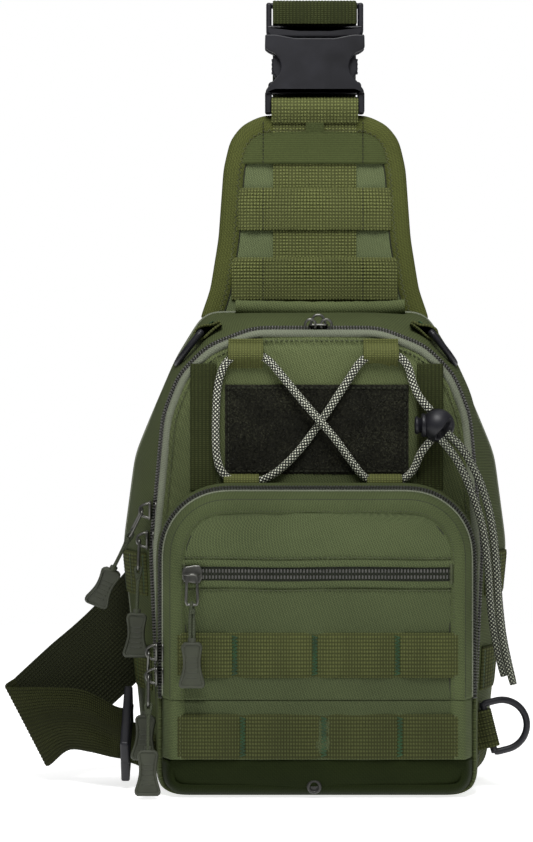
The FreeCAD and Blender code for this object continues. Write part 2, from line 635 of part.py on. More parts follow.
doc.recompute()
faults = [item.Label for item in doc.Objects if "Invalid" in item.State or "Error" in item.State]
for node in nodes:
    if node.Shape.isNull() or not node.Shape.isValid() or not node.Shape.Solids:
        faults.append(node.Label + " has no valid solid")
if faults:
    raise SystemExit("failed: " + ", ".join(faults))
for node in nodes:
    node.Shape.exportStep("parts/%s.step" % node.Label)
print("%d nodes" % len(nodes))
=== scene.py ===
import math

import bmesh
import bpy
import numpy as np
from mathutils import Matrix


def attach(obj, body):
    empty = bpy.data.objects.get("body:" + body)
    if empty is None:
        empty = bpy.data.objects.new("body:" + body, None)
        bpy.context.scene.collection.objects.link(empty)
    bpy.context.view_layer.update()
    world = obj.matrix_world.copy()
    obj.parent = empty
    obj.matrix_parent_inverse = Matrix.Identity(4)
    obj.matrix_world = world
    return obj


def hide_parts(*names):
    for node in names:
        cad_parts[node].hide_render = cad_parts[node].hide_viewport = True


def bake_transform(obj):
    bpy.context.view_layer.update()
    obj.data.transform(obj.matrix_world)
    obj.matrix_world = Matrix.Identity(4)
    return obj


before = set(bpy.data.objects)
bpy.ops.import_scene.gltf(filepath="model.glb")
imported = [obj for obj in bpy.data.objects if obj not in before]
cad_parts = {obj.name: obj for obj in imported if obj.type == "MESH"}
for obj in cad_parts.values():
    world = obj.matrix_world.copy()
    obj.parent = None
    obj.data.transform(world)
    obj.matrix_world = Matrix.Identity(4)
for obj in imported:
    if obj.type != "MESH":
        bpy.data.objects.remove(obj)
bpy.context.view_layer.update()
mm = 0.001  # everything below is written in millimetres and put into the meshes in metres
rng = np.random.default_rng(11)


# meshes
# each vector divided by its own length
def unit(a):
    return a / np.maximum(np.linalg.norm(a, axis=-1, keepdims=True), 1e-9)


# quads between neighbouring rows and columns, with the corner numbers a texture map needs
def gridFaces(nu, nv, closeU, closeV):
    a, b = np.meshgrid(np.arange(nu if closeU else nu - 1), np.arange(nv if closeV else nv - 1),
                       indexing="ij")
    ups, overs = [a, a + 1, a + 1, a], [b, b, b + 1, b + 1]
    faces = np.stack([(u % nu) * nv + v % nv for u, v in zip(ups, overs)], -1).reshape(-1, 4)
    return faces, (np.stack(ups, -1).reshape(-1, 4), np.stack(overs, -1).reshape(-1, 4))


# a grid of points as a surface; its map is the length walked along each way, in millimetres
def gridShape(points, closeU=False, closeV=False, mat=0, uv=None):
    nu, nv = points.shape[:2]
    faces, (cu, cv) = gridFaces(nu, nv, closeU, closeV)
    if uv is None:
        along = np.linalg.norm(np.diff(points[:, nv // 2], axis=0, append=points[:1, nv // 2]), axis=1)
        over = np.linalg.norm(np.diff(points[nu // 2], axis=0, append=points[nu // 2, :1]), axis=1)
        u, v = np.concatenate([[0], np.cumsum(along)]), np.concatenate([[0], np.cumsum(over)])
        maps = np.stack([u[cu], v[cv]], -1)
    else:
        maps = uv[cu % nu, cv % nv]
    return points.reshape(-1, 3), faces, maps, mat


# closes a ring of points with triangles to its middle
def fan(ring, flip=False):
    n = len(ring)
    verts = np.vstack([ring, ring.mean(0)])
    k = np.arange(n)
    faces = np.stack([k, (k + 1) % n, np.full(n, n)], -1)
    if flip:
        faces = faces[:, ::-1]
    spread = verts - verts[-1]
    axes = np.argsort(-np.ptp(verts, axis=0))[:2]
    return verts, faces, spread[faces][..., axes], 0


# one flat face with as many corners as its ring
def lid(ring):
    return ring, np.arange(len(ring))[None], (ring - ring.mean(0))[None][..., :2], 0


# cloth that would reach through the floor is pressed up into a low zone, its own low point on the floor
pressed = {"zone": 5, "skin": 0.4}


# one mesh object out of several surfaces; it rides on a body, may stand for CAD nodes and may be thickened
def makePiece(name, shapes, body, materials, hides=(), weld=True, thick=0):
    verts = np.vstack([s[0] for s in shapes]) * mm
    low = verts[:, 2].min() - pressed["skin"] * mm
    if low < 0 and body in ("bag", "front"):
        near = verts[:, 2] < pressed["zone"] * mm
        verts[near, 2] = (verts[near, 2] - low) * pressed["zone"] * mm / (pressed["zone"] * mm - low)
    starts = np.cumsum([0] + [len(s[0]) for s in shapes])
    loops = np.concatenate([(s[1] + o).ravel() for s, o in zip(shapes, starts)])
    totals = np.concatenate([np.full(len(s[1]), s[1].shape[1]) for s in shapes])
    maps = np.concatenate([s[2].reshape(-1, 2) for s in shapes])
    mesh = bpy.data.meshes.new(name)
    mesh.vertices.add(len(verts))
    mesh.vertices.foreach_set("co", verts.ravel())
    mesh.loops.add(len(loops))
    mesh.loops.foreach_set("vertex_index", loops.astype(np.int32))
    mesh.polygons.add(len(totals))
    mesh.polygons.foreach_set("loop_start", np.concatenate([[0], np.cumsum(totals)[:-1]]).astype(np.int32))
    mesh.polygons.foreach_set("loop_total", totals.astype(np.int32))
    picks = np.concatenate([np.full(len(s[1]), s[3]) for s in shapes])
    mesh.polygons.foreach_set("material_index", picks.astype(np.int32))
    mesh.uv_layers.new(name="cut").data.foreach_set("uv", (maps * mm).ravel())
    for material in materials:
        mesh.materials.append(material)
    mesh.update(calc_edges=True)
    mesh.validate()
    if weld:
        weldMesh(mesh)
    corners = np.zeros(len(mesh.polygons), np.int32)
    mesh.polygons.foreach_get("loop_total", corners)
    mesh.polygons.foreach_set("use_smooth", corners <= 4)
    obj = bpy.data.objects.new(name, mesh)
    bpy.context.scene.collection.objects.link(obj)
    if body:
        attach(obj, body)
    if hides:
        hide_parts(*hides)
    if thick:
        solid = obj.modifiers.new("clothThickness", "SOLIDIFY")
        solid.thickness, solid.offset = thick * mm, 0
    return obj


# joins points closer than 0.02 mm and turns every face outwards
def weldMesh(mesh):
    work = bmesh.new()
    work.from_mesh(mesh)
    bmesh.ops.remove_doubles(work, verts=work.verts, dist=0.00002)
    bmesh.ops.recalc_face_normals(work, faces=work.faces)
    work.to_mesh(mesh)
    work.free()


# points evenly round a circle: radius times the cosine and sine of each angle, the second one squashed
def circle(radius, sides=10, squash=1.0):
    a = np.linspace(0, 2 * np.pi, sides, endpoint=False)
    return np.stack([np.cos(a) * radius, np.sin(a) * radius * squash], 1)


# along, across and out at each point of a path, from a direction the path never follows
def frames(path, up, closed=False):
    if closed:
        along = unit(np.roll(path, -1, 0) - np.roll(path, 1, 0))
    else:
        along = unit(np.gradient(path, axis=0))
    across = unit(np.cross(along, np.broadcast_to(up, path.shape)))
    return along, across, np.cross(across, along)


# a grid of points from three arrays that stretch to each other's size
def sheet(x, y, z):
    return np.stack(np.broadcast_arrays(x, y, z), -1)


# a closed section carried along a path: section x goes across, y goes out along up
def sweep(path, section, up=(0, -1, 0), closed=False, grow=None, caps=True):
    _, across, out = frames(path, np.array(up, float), closed)
    size = np.ones(len(path)) if grow is None else grow
    points = (path[:, None] + across[:, None] * section[None, :, :1] * size[:, None, None]
              + out[:, None] * section[None, :, 1:] * size[:, None, None])
    shapes = [gridShape(points, closeU=closed, closeV=True)]
    if caps and not closed:
        shapes += [fan(points[0]), fan(points[-1], flip=True)]
    return shapes


# a soft curve through a few points: cubic pieces whose slopes come from the neighbours
def smoothPath(points, count=60, closed=False):
    p = np.array(points, float)
    ends = (p[-1:], p[:2]) if closed else (2 * p[:1] - p[1:2], 2 * p[-1:] - p[-2:-1])
    q = np.vstack([ends[0], p, ends[1]])
    spans = len(q) - 3
    t = np.linspace(0, spans, count, endpoint=not closed)
    k = np.minimum(t.astype(int), spans - 1)
    f = (t - k)[:, None]
    a, b, c, d = q[k], q[k + 1], q[k + 2], q[k + 3]
    slope, bend, sway = c - a, 2 * a - 5 * b + 4 * c - d, 3 * b - a - 3 * c + d
    return 0.5 * (2 * b + slope * f + bend * f ** 2 + sway * f ** 3)


# the same path walked at even steps
def evenPath(path, step):
    gone = np.concatenate([[0], np.cumsum(np.linalg.norm(np.diff(path, axis=0), axis=1))])
    t = np.linspace(0, gone[-1], max(3, int(round(gone[-1] / step)) + 1))
    return np.stack([np.interp(t, gone, path[:, k]) for k in range(3)], 1)


# a small shape repeated: base is (verts, faces); x runs along, y across, z out
def copies(base, places, along, across, out, mat=0):
    verts, faces = base
    points = (places[:, None] + along[:, None] * verts[None, :, :1] + across[:, None] * verts[None, :, 1:2]
              + out[:, None] * verts[None, :, 2:])
    n, k = len(places), len(verts)
    every = (faces[None] + (np.arange(n) * k)[:, None, None]).reshape(-1, faces.shape[1])
    return points.reshape(-1, 3), every, np.zeros((len(every), faces.shape[1], 2)), mat


# a short bar with tapered ends: four rings of six points and two four-sided faces at each end
def capsule(length, width, height):
    sides = 6
    a = np.linspace(0, 2 * np.pi, sides, endpoint=False)
    stations, girth = np.array([-0.5, -0.36, 0.36, 0.5]) * length, np.array([0.35, 1, 1, 0.35])
    ring = np.stack([np.cos(a) * width / 2, np.sin(a) * height / 2], 1)
    rings = (girth[:, None, None] * ring).reshape(-1, 2)
    points = np.concatenate([np.repeat(stations, sides)[:, None], rings], 1)
    k = np.arange(sides)
    side = [np.stack([r * sides + k, (r + 1) * sides + k, (r + 1) * sides + (k + 1) % sides,
                      r * sides + (k + 1) % sides], -1) for r in range(3)]
    caps = [[base + i for i in order] for base in (0, 3 * sides) for order in ([0, 1, 2, 3], [3, 4, 5, 0])]
    return points, np.vstack(side + [np.array(caps)])


# a row of thread stitches lying on a path, a little out of the cloth towards -Y
def stitches(path, pitch, length, width):
    walked = evenPath(np.asarray(path, float), pitch)
    along, across, out = frames(walked, np.array((0, -1.0, 0)))
    return copies(capsule(length, width, width), walked + out * 0.1, along, across, out)


# the right side mirrored, walked evenly and averaged over a length: a loop in X and Z, and the ways out
def outline(rightSide, soft=7.0, step=1.5, count=None):
    corners = np.array(list(rightSide) + [(-x, z) for x, z in reversed(rightSide)], float)
    ring = np.vstack([corners, corners[:1]])
    gone = np.concatenate([[0], np.cumsum(np.hypot(*np.diff(ring, axis=0).T))])
    n = count or int(gone[-1] / step)
    step = gone[-1] / n
    t = np.linspace(0, gone[-1], n, endpoint=False)
    loop = np.stack([np.interp(t, gone, ring[:, k]) for k in (0, 1)], 1)
    away = np.minimum(np.arange(n), n - np.arange(n)) * step
    weight = np.exp(-0.5 * (away / soft) ** 2)
    loop = np.fft.ifft(np.fft.fft(loop, axis=0) * np.fft.fft(weight / weight.sum())[:, None], axis=0).real
    tangent = unit(np.roll(loop, -1, 0) - np.roll(loop, 1, 0))
    return loop, np.stack([tangent[:, 1], -tangent[:, 0]], 1)


# the open stretch of a loop between two levels, in order
def archOf(loop, normals, low, high=1e9):
    inside = (loop[:, 1] >= low) & (loop[:, 1] <= high)
    first = np.argmax(inside & ~np.roll(inside, 1))
    order = (first + np.arange(len(loop))) % len(loop)
    keep = order[:int(inside.sum())]
    return loop[keep], normals[keep]


# one side of an outline between two levels, with its ends exactly on them
def exactStretch(loop, normals, low, high, side):
    keep = np.flatnonzero((loop[:, 0] * side > 0) & (np.abs(normals[:, 0]) > 0.02))
    keep = keep[np.argsort(loop[keep, 1])]
    z = np.linspace(low, high, max(3, int((high - low) / 1.5)))
    at = [np.interp(z, loop[keep, 1], a[keep, k]) for a in (loop, normals) for k in (0, 1)]
    return np.stack([at[0], z], 1), unit(np.stack(at[2:], 1))


# the arch above a level, with both ends exactly on it
def archFrom(loop, normals, low):
    stretch, out = archOf(loop, normals, low)
    ends = [exactStretch(loop, normals, low, low + 4, k) for k in (1, -1)]
    stretch = np.vstack([ends[0][0][:1], stretch[1:-1], ends[1][0][:1]])
    return stretch, np.vstack([ends[0][1][:1], out[1:-1], ends[1][1][:1]])


# a profile of (inwards, depth) pairs carried round an outline
def carry(loop, normals, section, closed=True):
    section = np.array(section, float)
    flatPart = loop[:, None] - normals[:, None] * section[None, :, :1]
    points = np.stack([flatPart[..., 0], np.broadcast_to(section[:, 1], flatPart.shape[:2]),
                       flatPart[..., 1]], -1)
    return gridShape(points, closeU=closed)


# a loop moved inwards along its normals and set at one depth
def in3d(loop, normals, inward, depth):
    flatPart = loop - normals * inward
    return np.stack([flatPart[:, 0], np.full(len(loop), float(depth)), flatPart[:, 1]], 1)


# half the width of an outline at each level
def halfWidth(rightSide, z, soft=6.0):
    loop, _ = outline(rightSide, soft)
    side = loop[loop[:, 0] > 0]
    order = np.argsort(side[:, 1])
    return np.interp(z, side[order, 1], side[order, 0])


# slow random folds of cloth: a few slanted waves added up, about -1 to 1
def ripple(x, z, seed, size=40.0, count=7):
    draw = np.random.default_rng(seed)
    angle, phase = draw.uniform(0, np.pi, count), draw.uniform(0, 6.28, count)
    pitch = size * draw.uniform(0.5, 1.6, count)
    total = 0
    for a, p, w in zip(angle, phase, pitch):
        total = total + np.sin((x * np.cos(a) + z * np.sin(a)) * 2 * np.pi / w + p)
    return total / count * 1.4


# a moulded plate: an outline in X and Z with rounded edges between two depths
def slab(loop, front, back, bevel):
    loop = np.asarray(loop, float)
    tangent = unit(np.roll(loop, -1, 0) - np.roll(loop, 1, 0))
    normals = np.stack([tangent[:, 1], -tangent[:, 0]], 1)
    turn = np.linspace(0, np.pi / 2, 4)
    inward = bevel * (1 - np.sin(turn))
    depth = bevel * (1 - np.cos(turn))
    section = np.vstack([np.stack([inward, front + depth], 1), np.stack([inward, back - depth], 1)[::-1]])
    side = carry(loop, normals, section)
    ring = side[0].reshape(len(loop), len(section), 3)
    return [side, lid(ring[:, 0]), lid(ring[:, -1])]


# a rectangle with quarter-circle corners, counter-clockwise from its lower right
def roundRect(x0, x1, z0, z1, radius, sides=6):
    a = np.linspace(0, np.pi / 2, sides)
    rings = []
    for cx, cz, start in ((x1 - radius, z0 + radius, -np.pi / 2), (x1 - radius, z1 - radius, 0),
                          (x0 + radius, z1 - radius, np.pi / 2), (x0 + radius, z0 + radius, np.pi)):
        rings.append(np.stack([cx + radius * np.cos(a + start), cz + radius * np.sin(a + start)], 1))
    return np.vstack(rings)


# shapes turned by a 3 by 3 matrix and moved to a place
def turned(shapes, matrix, origin=(0, 0, 0)):
    return [(s[0] @ np.array(matrix, float).T + np.array(origin, float),) + tuple(s[1:]) for s in shapes]


# a turn about an axis: cosine times the unit matrix, sine times the cross product, the rest along the axis
def spin(axis, degrees):
    a, c, s = unit(np.array(axis, float)), math.cos(math.radians(degrees)), math.sin(math.radians(degrees))
    cross = np.array([[0, -a[2], a[1]], [a[2], 0, -a[0]], [-a[1], a[0], 0]])
    return np.eye(3) * c + s * cross + (1 - c) * np.outer(a, a)


# materials
# a material with one shader, its plain values set
def newMaterial(name, colour, rough, metal=0.0, sheen=0.0, coat=0.0, specular=0.5):
    material = bpy.data.materials.new(name)
    material.use_nodes = True
    shader = material.node_tree.nodes["Principled BSDF"]
    for socket, value in (("Base Color", (*colour, 1)), ("Roughness", rough), ("Metallic", metal),
                          ("Sheen Weight", sheen), ("Sheen Roughness", 0.45), ("Coat Weight", coat),
                          ("Specular IOR Level", specular)):
        shader.inputs[socket].default_value = value
    return material, material.node_tree, shader


# one sum done per point; a value is a number or another node's output
def mathNode(tree, kind, *values):
    node = tree.nodes.new("ShaderNodeMath")
    node.operation = kind
    for k, value in enumerate(values):
        if isinstance(value, (int, float)):
            node.inputs[k].default_value = value
        else:
            tree.links.new(value, node.inputs[k])
    return node.outputs[0]


# a map's coordinates, turned and stretched, as separate X, Y and Z
def axisOf(tree, source, turn=0.0, stretch=(1, 1, 1)):
    place = tree.nodes.new("ShaderNodeMapping")
    place.inputs["Rotation"].default_value = (0, 0, turn)
    place.inputs["Scale"].default_value = stretch
    tree.links.new(source, place.inputs["Vector"])
    split = tree.nodes.new("ShaderNodeSeparateXYZ")
    tree.links.new(place.outputs[0], split.inputs[0])
    return split.outputs


# a wave from 0 to 1 of a given pitch in metres
def waves(tree, value, pitch, phase=0.0):
    turns = mathNode(tree, "MULTIPLY_ADD", value, 2 * math.pi / pitch, phase)
    return mathNode(tree, "MULTIPLY_ADD", mathNode(tree, "SINE", turns), 0.5, 0.5)


# cloudy noise of a given scale and number of octaves
def noise(tree, source, scale, detail=2.0):
    node = tree.nodes.new("ShaderNodeTexNoise")
    node.inputs["Scale"].default_value = scale
    node.inputs["Detail"].default_value = detail
    tree.links.new(source, node.inputs["Vector"])
    return node.outputs["Fac"]


# a value turned into a colour between stops of (value, colour)
def ramp(tree, value, stops):
    node = tree.nodes.new("ShaderNodeValToRGB")
    node.color_ramp.elements[0].position, node.color_ramp.elements[1].position = stops[0][0], stops[-1][0]
    for place, colour in stops[1:-1]:
        node.color_ramp.elements.new(place)
    for element, (_, colour) in zip(node.color_ramp.elements, stops):
        element.color = (*colour, 1)
    tree.links.new(value, node.inputs["Fac"])
    return node.outputs["Color"]


# a height as a relief of the shader's normal
def bumped(tree, shader, height, depth, strength=1.0):
    node = tree.nodes.new("ShaderNodeBump")
    node.inputs["Distance"].default_value = depth
    node.inputs["Strength"].default_value = strength
    tree.links.new(height, node.inputs["Height"])
    tree.links.new(node.outputs[0], shader.inputs["Normal"])


# a colour times a factor, never above 1
def scaled(colour, by):
    return tuple(min(1.0, c * by) for c in colour)


# cloth: two crossed thread waves, a slow cloudy change of tone and a fine grain; an optional ramp by height
# adds painted shade, darker towards the bottom
def wovenMaterial(name, colour, pitch, contrast, rough=0.8, sheen=0.0, slant=0.0, cloud=0.35, relief=0.00022,
                  specular=0.12, diagonal=0.35, heightRamp=None):
    material, tree, shader = newMaterial(name, colour, rough, sheen=sheen, specular=specular)
    shader.inputs["Sheen Tint"].default_value = (*scaled(colour, 3), 1)
    coords = tree.nodes.new("ShaderNodeTexCoord")
    xyz = axisOf(tree, coords.outputs["UV"], slant)
    warp, weft = waves(tree, xyz[0], pitch[0]), waves(tree, xyz[1], pitch[1])
    twill = waves(tree, mathNode(tree, "ADD", xyz[0], xyz[1]), pitch[0] * 2)
    weave = mathNode(tree, "MULTIPLY", warp, weft)
    weave = mathNode(tree, "MULTIPLY_ADD", twill, diagonal,
                     mathNode(tree, "MULTIPLY", weave, 1 - diagonal))
    slow = noise(tree, coords.outputs["Object"], 22, 3)
    grain = noise(tree, coords.outputs["Object"], 1500, 1)
    shade = mathNode(tree, "MULTIPLY_ADD", slow, cloud, mathNode(tree, "MULTIPLY", weave, contrast))
    shade = mathNode(tree, "MULTIPLY_ADD", grain, 0.3, shade)
    low, high = scaled(colour, 0.42), scaled(colour, 1.7)
    tint = ramp(tree, shade, [(0.12, low), (0.5, colour), (0.95, high)])
    if heightRamp:
        # painted shade, darker towards the bottom: the colour times a share that rises with height
        height = axisOf(tree, coords.outputs["Object"])[2]
        share = tree.nodes.new("ShaderNodeMapRange")
        share.interpolation_type = "SMOOTHSTEP"
        tree.links.new(height, share.inputs["Value"])
        for key, value in zip(("From Min", "From Max", "To Min"), heightRamp):
            share.inputs[key].default_value = value
        share.inputs["To Max"].default_value = 1.0
        product = tree.nodes.new("ShaderNodeVectorMath")
        product.operation = "SCALE"
        tree.links.new(tint, product.inputs[0])
        tree.links.new(share.outputs["Result"], product.inputs["Scale"])
        tint = product.outputs[0]
    tree.links.new(tint, shader.inputs["Base Color"])
    bumped(tree, shader, weave, relief, 0.9)
    return material


oxford = {"pitch": (0.00115, 0.00115), "contrast": 0.75, "slant": 0.5, "relief": 0.00028}
ribbed = {"cloud": 0.25, "relief": 0.0003, "diagonal": 0}
clothMaterial = wovenMaterial("oliveOxford", (0.080, 0.098, 0.040), **oxford)
# the front panel's oxford with painted shade: its colour times 0.62 below 195 mm, rising to full above 258 mm
frontClothMaterial = wovenMaterial("oliveOxfordPaintedHeightShade", (0.084, 0.102, 0.042), heightRamp=(0.195, 0.258, 0.62),
                                   **oxford)
# a darker copy of the oxford: painted shade on the main and pocket gussets round the sides
paintedShadeCloth = wovenMaterial("oliveOxfordPaintedShade", (0.046, 0.057, 0.022), **oxford)
# the pocket's oxford with painted shade: its colour times 0.68 below 70 mm, rising to full above 160 mm
pocketClothMaterial = wovenMaterial("oliveOxfordPocket", (0.063, 0.079, 0.034), heightRamp=(0.07, 0.16, 0.68),
                                    **oxford)
# a much darker copy of the oxford: painted shadow on the handle's feet under its roll
paintedShadowCloth = wovenMaterial("oliveOxfordPaintedShadow", (0.030, 0.038, 0.014), **oxford)
coatedMaterial = wovenMaterial("oliveCoated", (0.011, 0.016, 0.004), (0.0011, 0.0011), 0.3, rough=0.65,
                               relief=0.0001, specular=0.04)
lightClothMaterial = wovenMaterial("oliveLightOxford", (0.110, 0.135, 0.062), (0.0011, 0.0011), 0.45,
                                   slant=0.6)
borderMaterial = wovenMaterial("oliveBorder", (0.060, 0.076, 0.031), (0.0011, 0.0011), 0.45, slant=0.6)
# webbing with painted shade: its colour times 0.7 below 30 mm, rising to full above 100 mm
webbingMaterial = wovenMaterial("oliveWebbing", (0.052, 0.059, 0.019), (0.00175, 0.0021), 1.0,
                                heightRamp=(0.03, 0.1, 0.7), **ribbed)
darkWebbingMaterial = wovenMaterial("shadeWebbing", (0.028, 0.034, 0.010), (0.0012, 0.0022), 0.6, **ribbed)
smoothWebbingMaterial = wovenMaterial("flatWebbing", (0.074, 0.092, 0.030), (0.0006, 0.0013), 0.35,
                                      cloud=0.25, relief=0.00012, diagonal=0)
loopWebbing = wovenMaterial("laceLoopWebbing", (0.094, 0.104, 0.033), (0.0012, 0.0018), 0.6, cloud=0.3,
                            relief=0.0003, diagonal=0)
waffle = wovenMaterial("waffleWebbing", (0.096, 0.107, 0.036), (0.0020, 0.0021), 1.1, cloud=0.2,
                       relief=0.0006, diagonal=0)
slingUpper = wovenMaterial("slingUpper", (0.014, 0.016, 0.006), (0.0020, 0.0011), 0.8, cloud=0.2,
                           relief=0.0004, diagonal=0)
slingFront = wovenMaterial("slingFront", (0.014, 0.016, 0.004), (0.0011, 0.0020), 0.9, cloud=0.3,
                           relief=0.0004, diagonal=0)
pipingMaterial = wovenMaterial("greyGreenPiping", (0.150, 0.165, 0.118), (0.0009, 0.0009), 0.45, slant=0.4)
bindingMaterial = wovenMaterial("oliveBinding", (0.070, 0.080, 0.020), (0.0010, 0.0016), 0.55, cloud=0.25)
tapeMaterial = wovenMaterial("zipTape", (0.024, 0.027, 0.019), (0.0012, 0.0008), 0.5, rough=0.7, sheen=0.05)
meshMaterial = wovenMaterial("spacerMesh", (0.050, 0.060, 0.026), (0.0030, 0.0030), 0.9, relief=0.0007,
                             rough=0.75)
liningMaterial = wovenMaterial("lining", (0.045, 0.052, 0.028), (0.0009, 0.0009), 0.3)
hangCord = wovenMaterial("pullCord", (0.050, 0.058, 0.036), (0.0009, 0.0009), 0.6, cloud=0.2)


# dark loop pile: coarse and fine noise, no gloss
def pileMaterial():
    material, tree, shader = newMaterial("darkPile", (0.012, 0.012, 0.007), 0.95, sheen=0.1, specular=0.1)
    coords = tree.nodes.new("ShaderNodeTexCoord")
    fine = noise(tree, coords.outputs["Object"], 900, 3)
    slow = noise(tree, coords.outputs["Object"], 60, 3)
    mix = mathNode(tree, "MULTIPLY_ADD", slow, 0.35, mathNode(tree, "MULTIPLY", fine, 0.8))
    tree.links.new(ramp(tree, mix, [(0.3, (0.004, 0.004, 0.003)), (0.6, (0.012, 0.012, 0.008)),
                                    (0.9, (0.060, 0.062, 0.038))]), shader.inputs["Base Color"])
    bumped(tree, shader, fine, 0.0005)
    return material


# a braided sleeve: two sets of slanted bands, light flecks where they cross over dark
def braidMaterial(name, light):
    material, tree, shader = newMaterial(name, scaled(light, 0.2), 0.7)
    coords = tree.nodes.new("ShaderNodeTexCoord")
    xyz = axisOf(tree, coords.outputs["UV"])
    pitch = 0.0023
    lean = mathNode(tree, "MULTIPLY", xyz[1], 0.9)
    left = waves(tree, mathNode(tree, "ADD", xyz[0], lean), pitch)
    right = waves(tree, mathNode(tree, "SUBTRACT", xyz[0], lean), pitch)
    strand = mathNode(tree, "MAXIMUM", mathNode(tree, "POWER", left, 2.0),
                      mathNode(tree, "POWER", right, 3.0))
    fleck = mathNode(tree, "MULTIPLY", left, right)
    tree.links.new(ramp(tree, fleck, [(0.10, (0.007, 0.009, 0.005)), (0.36, scaled(light, 0.12)),
                                      (0.52, light)]), shader.inputs["Base Color"])
    bumped(tree, shader, strand, 0.0004)
    return material


# moulded or cast surface: soft mottling of shade and gloss, and a slight grain
def mouldedMaterial(name, colour, rough, relief=0.00003, coat=0.0, metal=0.0, spread=0.35, specular=0.35):
    material, tree, shader = newMaterial(name, colour, rough, metal=metal, coat=coat, specular=specular)
    coords = tree.nodes.new("ShaderNodeTexCoord")
    slow = noise(tree, coords.outputs["Object"], 70, 3)
    fine = noise(tree, coords.outputs["Object"], 2500, 2)
    tree.links.new(ramp(tree, slow, [(0.3, scaled(colour, 1 - spread)), (0.7, scaled(colour, 1 + spread))]),
                   shader.inputs["Base Color"])
    tree.links.new(mathNode(tree, "MULTIPLY_ADD", slow, 0.2, rough - 0.1), shader.inputs["Roughness"])
    bumped(tree, shader, fine, relief, 0.5)
    return material


pile = pileMaterial()
braid = braidMaterial("braidedSleeve", (0.72, 0.74, 0.60))
# a darker copy of the braid: painted shade on the cord tails, which hang in shadow
shadedTailBraid = braidMaterial("braidedTailPaintedShade", (0.34, 0.36, 0.27))
blackPlastic = mouldedMaterial("blackPlastic", (0.006, 0.006, 0.009), 0.46)
gunmetal = mouldedMaterial("gunmetal", (0.11, 0.11, 0.10), 0.30, metal=0.85, spread=0.25)
blackened = mouldedMaterial("blackenedBrass", (0.035, 0.035, 0.032), 0.35, metal=0.6)
coilMaterial = mouldedMaterial("coilNylon", (0.085, 0.083, 0.078), 0.3, spread=0.15)
darkCoil = mouldedMaterial("darkCoil", (0.030, 0.031, 0.026), 0.4, spread=0.15)
gripRubber = mouldedMaterial("gripRubber", (0.034, 0.038, 0.024), 0.6, relief=0.00008, spread=0.2)
threadMaterial = mouldedMaterial("oliveThread", (0.050, 0.060, 0.026), 0.7)
paleThread = mouldedMaterial("paleThread", (0.085, 0.095, 0.040), 0.7)
darkThread = mouldedMaterial("darkThread", (0.018, 0.021, 0.010), 0.8)
tackThread = mouldedMaterial("tackThread", (0.012, 0.045, 0.013), 0.65)
print("materials ready")


# view, light and floor
# a camera at a place, looking level along Y
def lookFrom(place, lens):
    camera = bpy.data.objects.new("viewCamera", bpy.data.cameras.new("viewCamera"))
    camera.location, camera.rotation_euler = place, (math.pi / 2, 0, 0)
    camera.data.sensor_fit, camera.data.sensor_height, camera.data.lens = "VERTICAL", 24, lens
    camera.data.clip_start, camera.data.clip_end = 0.05, 50
    bpy.context.scene.collection.objects.link(camera)
    bpy.context.scene.camera = camera


# a square lamp turned towards its target
def softLight(name, place, target, width, watts):
    light = bpy.data.lights.new(name, "AREA")
    light.shape, light.size, light.size_y, light.energy = "RECTANGLE", width, width, watts
    obj = bpy.data.objects.new(name, light)
    away = np.array(place) - np.array(target)
    spread = math.hypot(away[0], away[1])
    obj.location = place
    obj.rotation_euler = (math.atan2(spread, away[2]), 0, math.atan2(away[1], away[0]) + math.pi / 2)
    bpy.context.scene.collection.objects.link(obj)


lookFrom((-0.029, -1.660, 0.214), 80.57)
softLight("keyLight", (-0.08, -0.62, 1.12), (0, 0, 0.26), 0.5, 13)
softLight("fillLight", (1.3, -1.2, 0.9), (0, 0, 0.2), 1.2, 3)
softLight("topLight", (0.1, 0.5, 1.9), (0, 0, 0.2), 1.2, 5)
world = bpy.data.worlds.new("studio")
world.use_nodes = True
worldTree = world.node_tree
sky = worldTree.nodes["Background"]
rays = worldTree.nodes.new("ShaderNodeLightPath")
sky.inputs["Color"].default_value = (1, 1, 1, 1)
seen = mathNode(worldTree, "MULTIPLY_ADD", rays.outputs["Is Camera Ray"], 0.8, 0.2)
worldTree.links.new(seen, sky.inputs["Strength"])  # white where it is seen, dim as a light
bpy.context.scene.world = world
bpy.context.scene.view_settings.view_transform = "Standard"
paper, _, paperShader = newMaterial("paleFloor", (0.93, 0.93, 0.93), 0.8)
paperShader.inputs["Emission Color"].default_value = (1, 1, 1, 1)
paperShader.inputs["Emission Strength"].default_value = 0.75
corners = np.array([(-0.75, -0.55), (0.75, -0.55), (0.75, 1.3), (-0.75, 1.3)]) / mm
floor = makePiece("studioFloor", [lid(np.insert(corners, 2, 0, 1))], None, [paper])
print("view and light ready")


# cords
lace = {"held": -30.7, "over": -35.9, "radius": 2.3}
held, over = lace["held"], lace["over"]
lace["route"] = [(65.5, -38, 219.8), (59.5, -35.5, 226), (55, -32, 236), (53, held, 246), (46, held, 253),
                 (28, held, 253), (17, held, 236), (3, held, 214.5), (-12, held, 194), (-30, held, 178.5),
                 (-50, held, 178.5), (-58, held, 189), (-58.5, held, 214), (-57, held, 240), (-49, held, 253),
                 (-31, held, 253), (-20, -33, 240), (-8, over, 225), (9, over, 206), (19, -33, 192),
                 (29, held, 178.5), (48, held, 178.5), (56.5, held, 186), (59.5, -34.5, 196.5),
                 (65.5, -38, 203.2)]
tailA = [(74, -45, 207), (80, -46.5, 202), (87, -45.5, 192), (94, -43, 178), (100, -40, 158),
         (103, -37.5, 132), (104.5, -36, 108), (107.5, -35, 84), (113, -34.5, 62.5)]
tailB = [(70.5, -46.5, 203.5), (76, -48, 197.5), (82.5, -47, 187), (88.5, -45, 173), (95, -42, 154),
         (98.2, -39.5, 131), (99.5, -37.5, 108), (103, -31.5, 86), (108, -29.5, 67)]


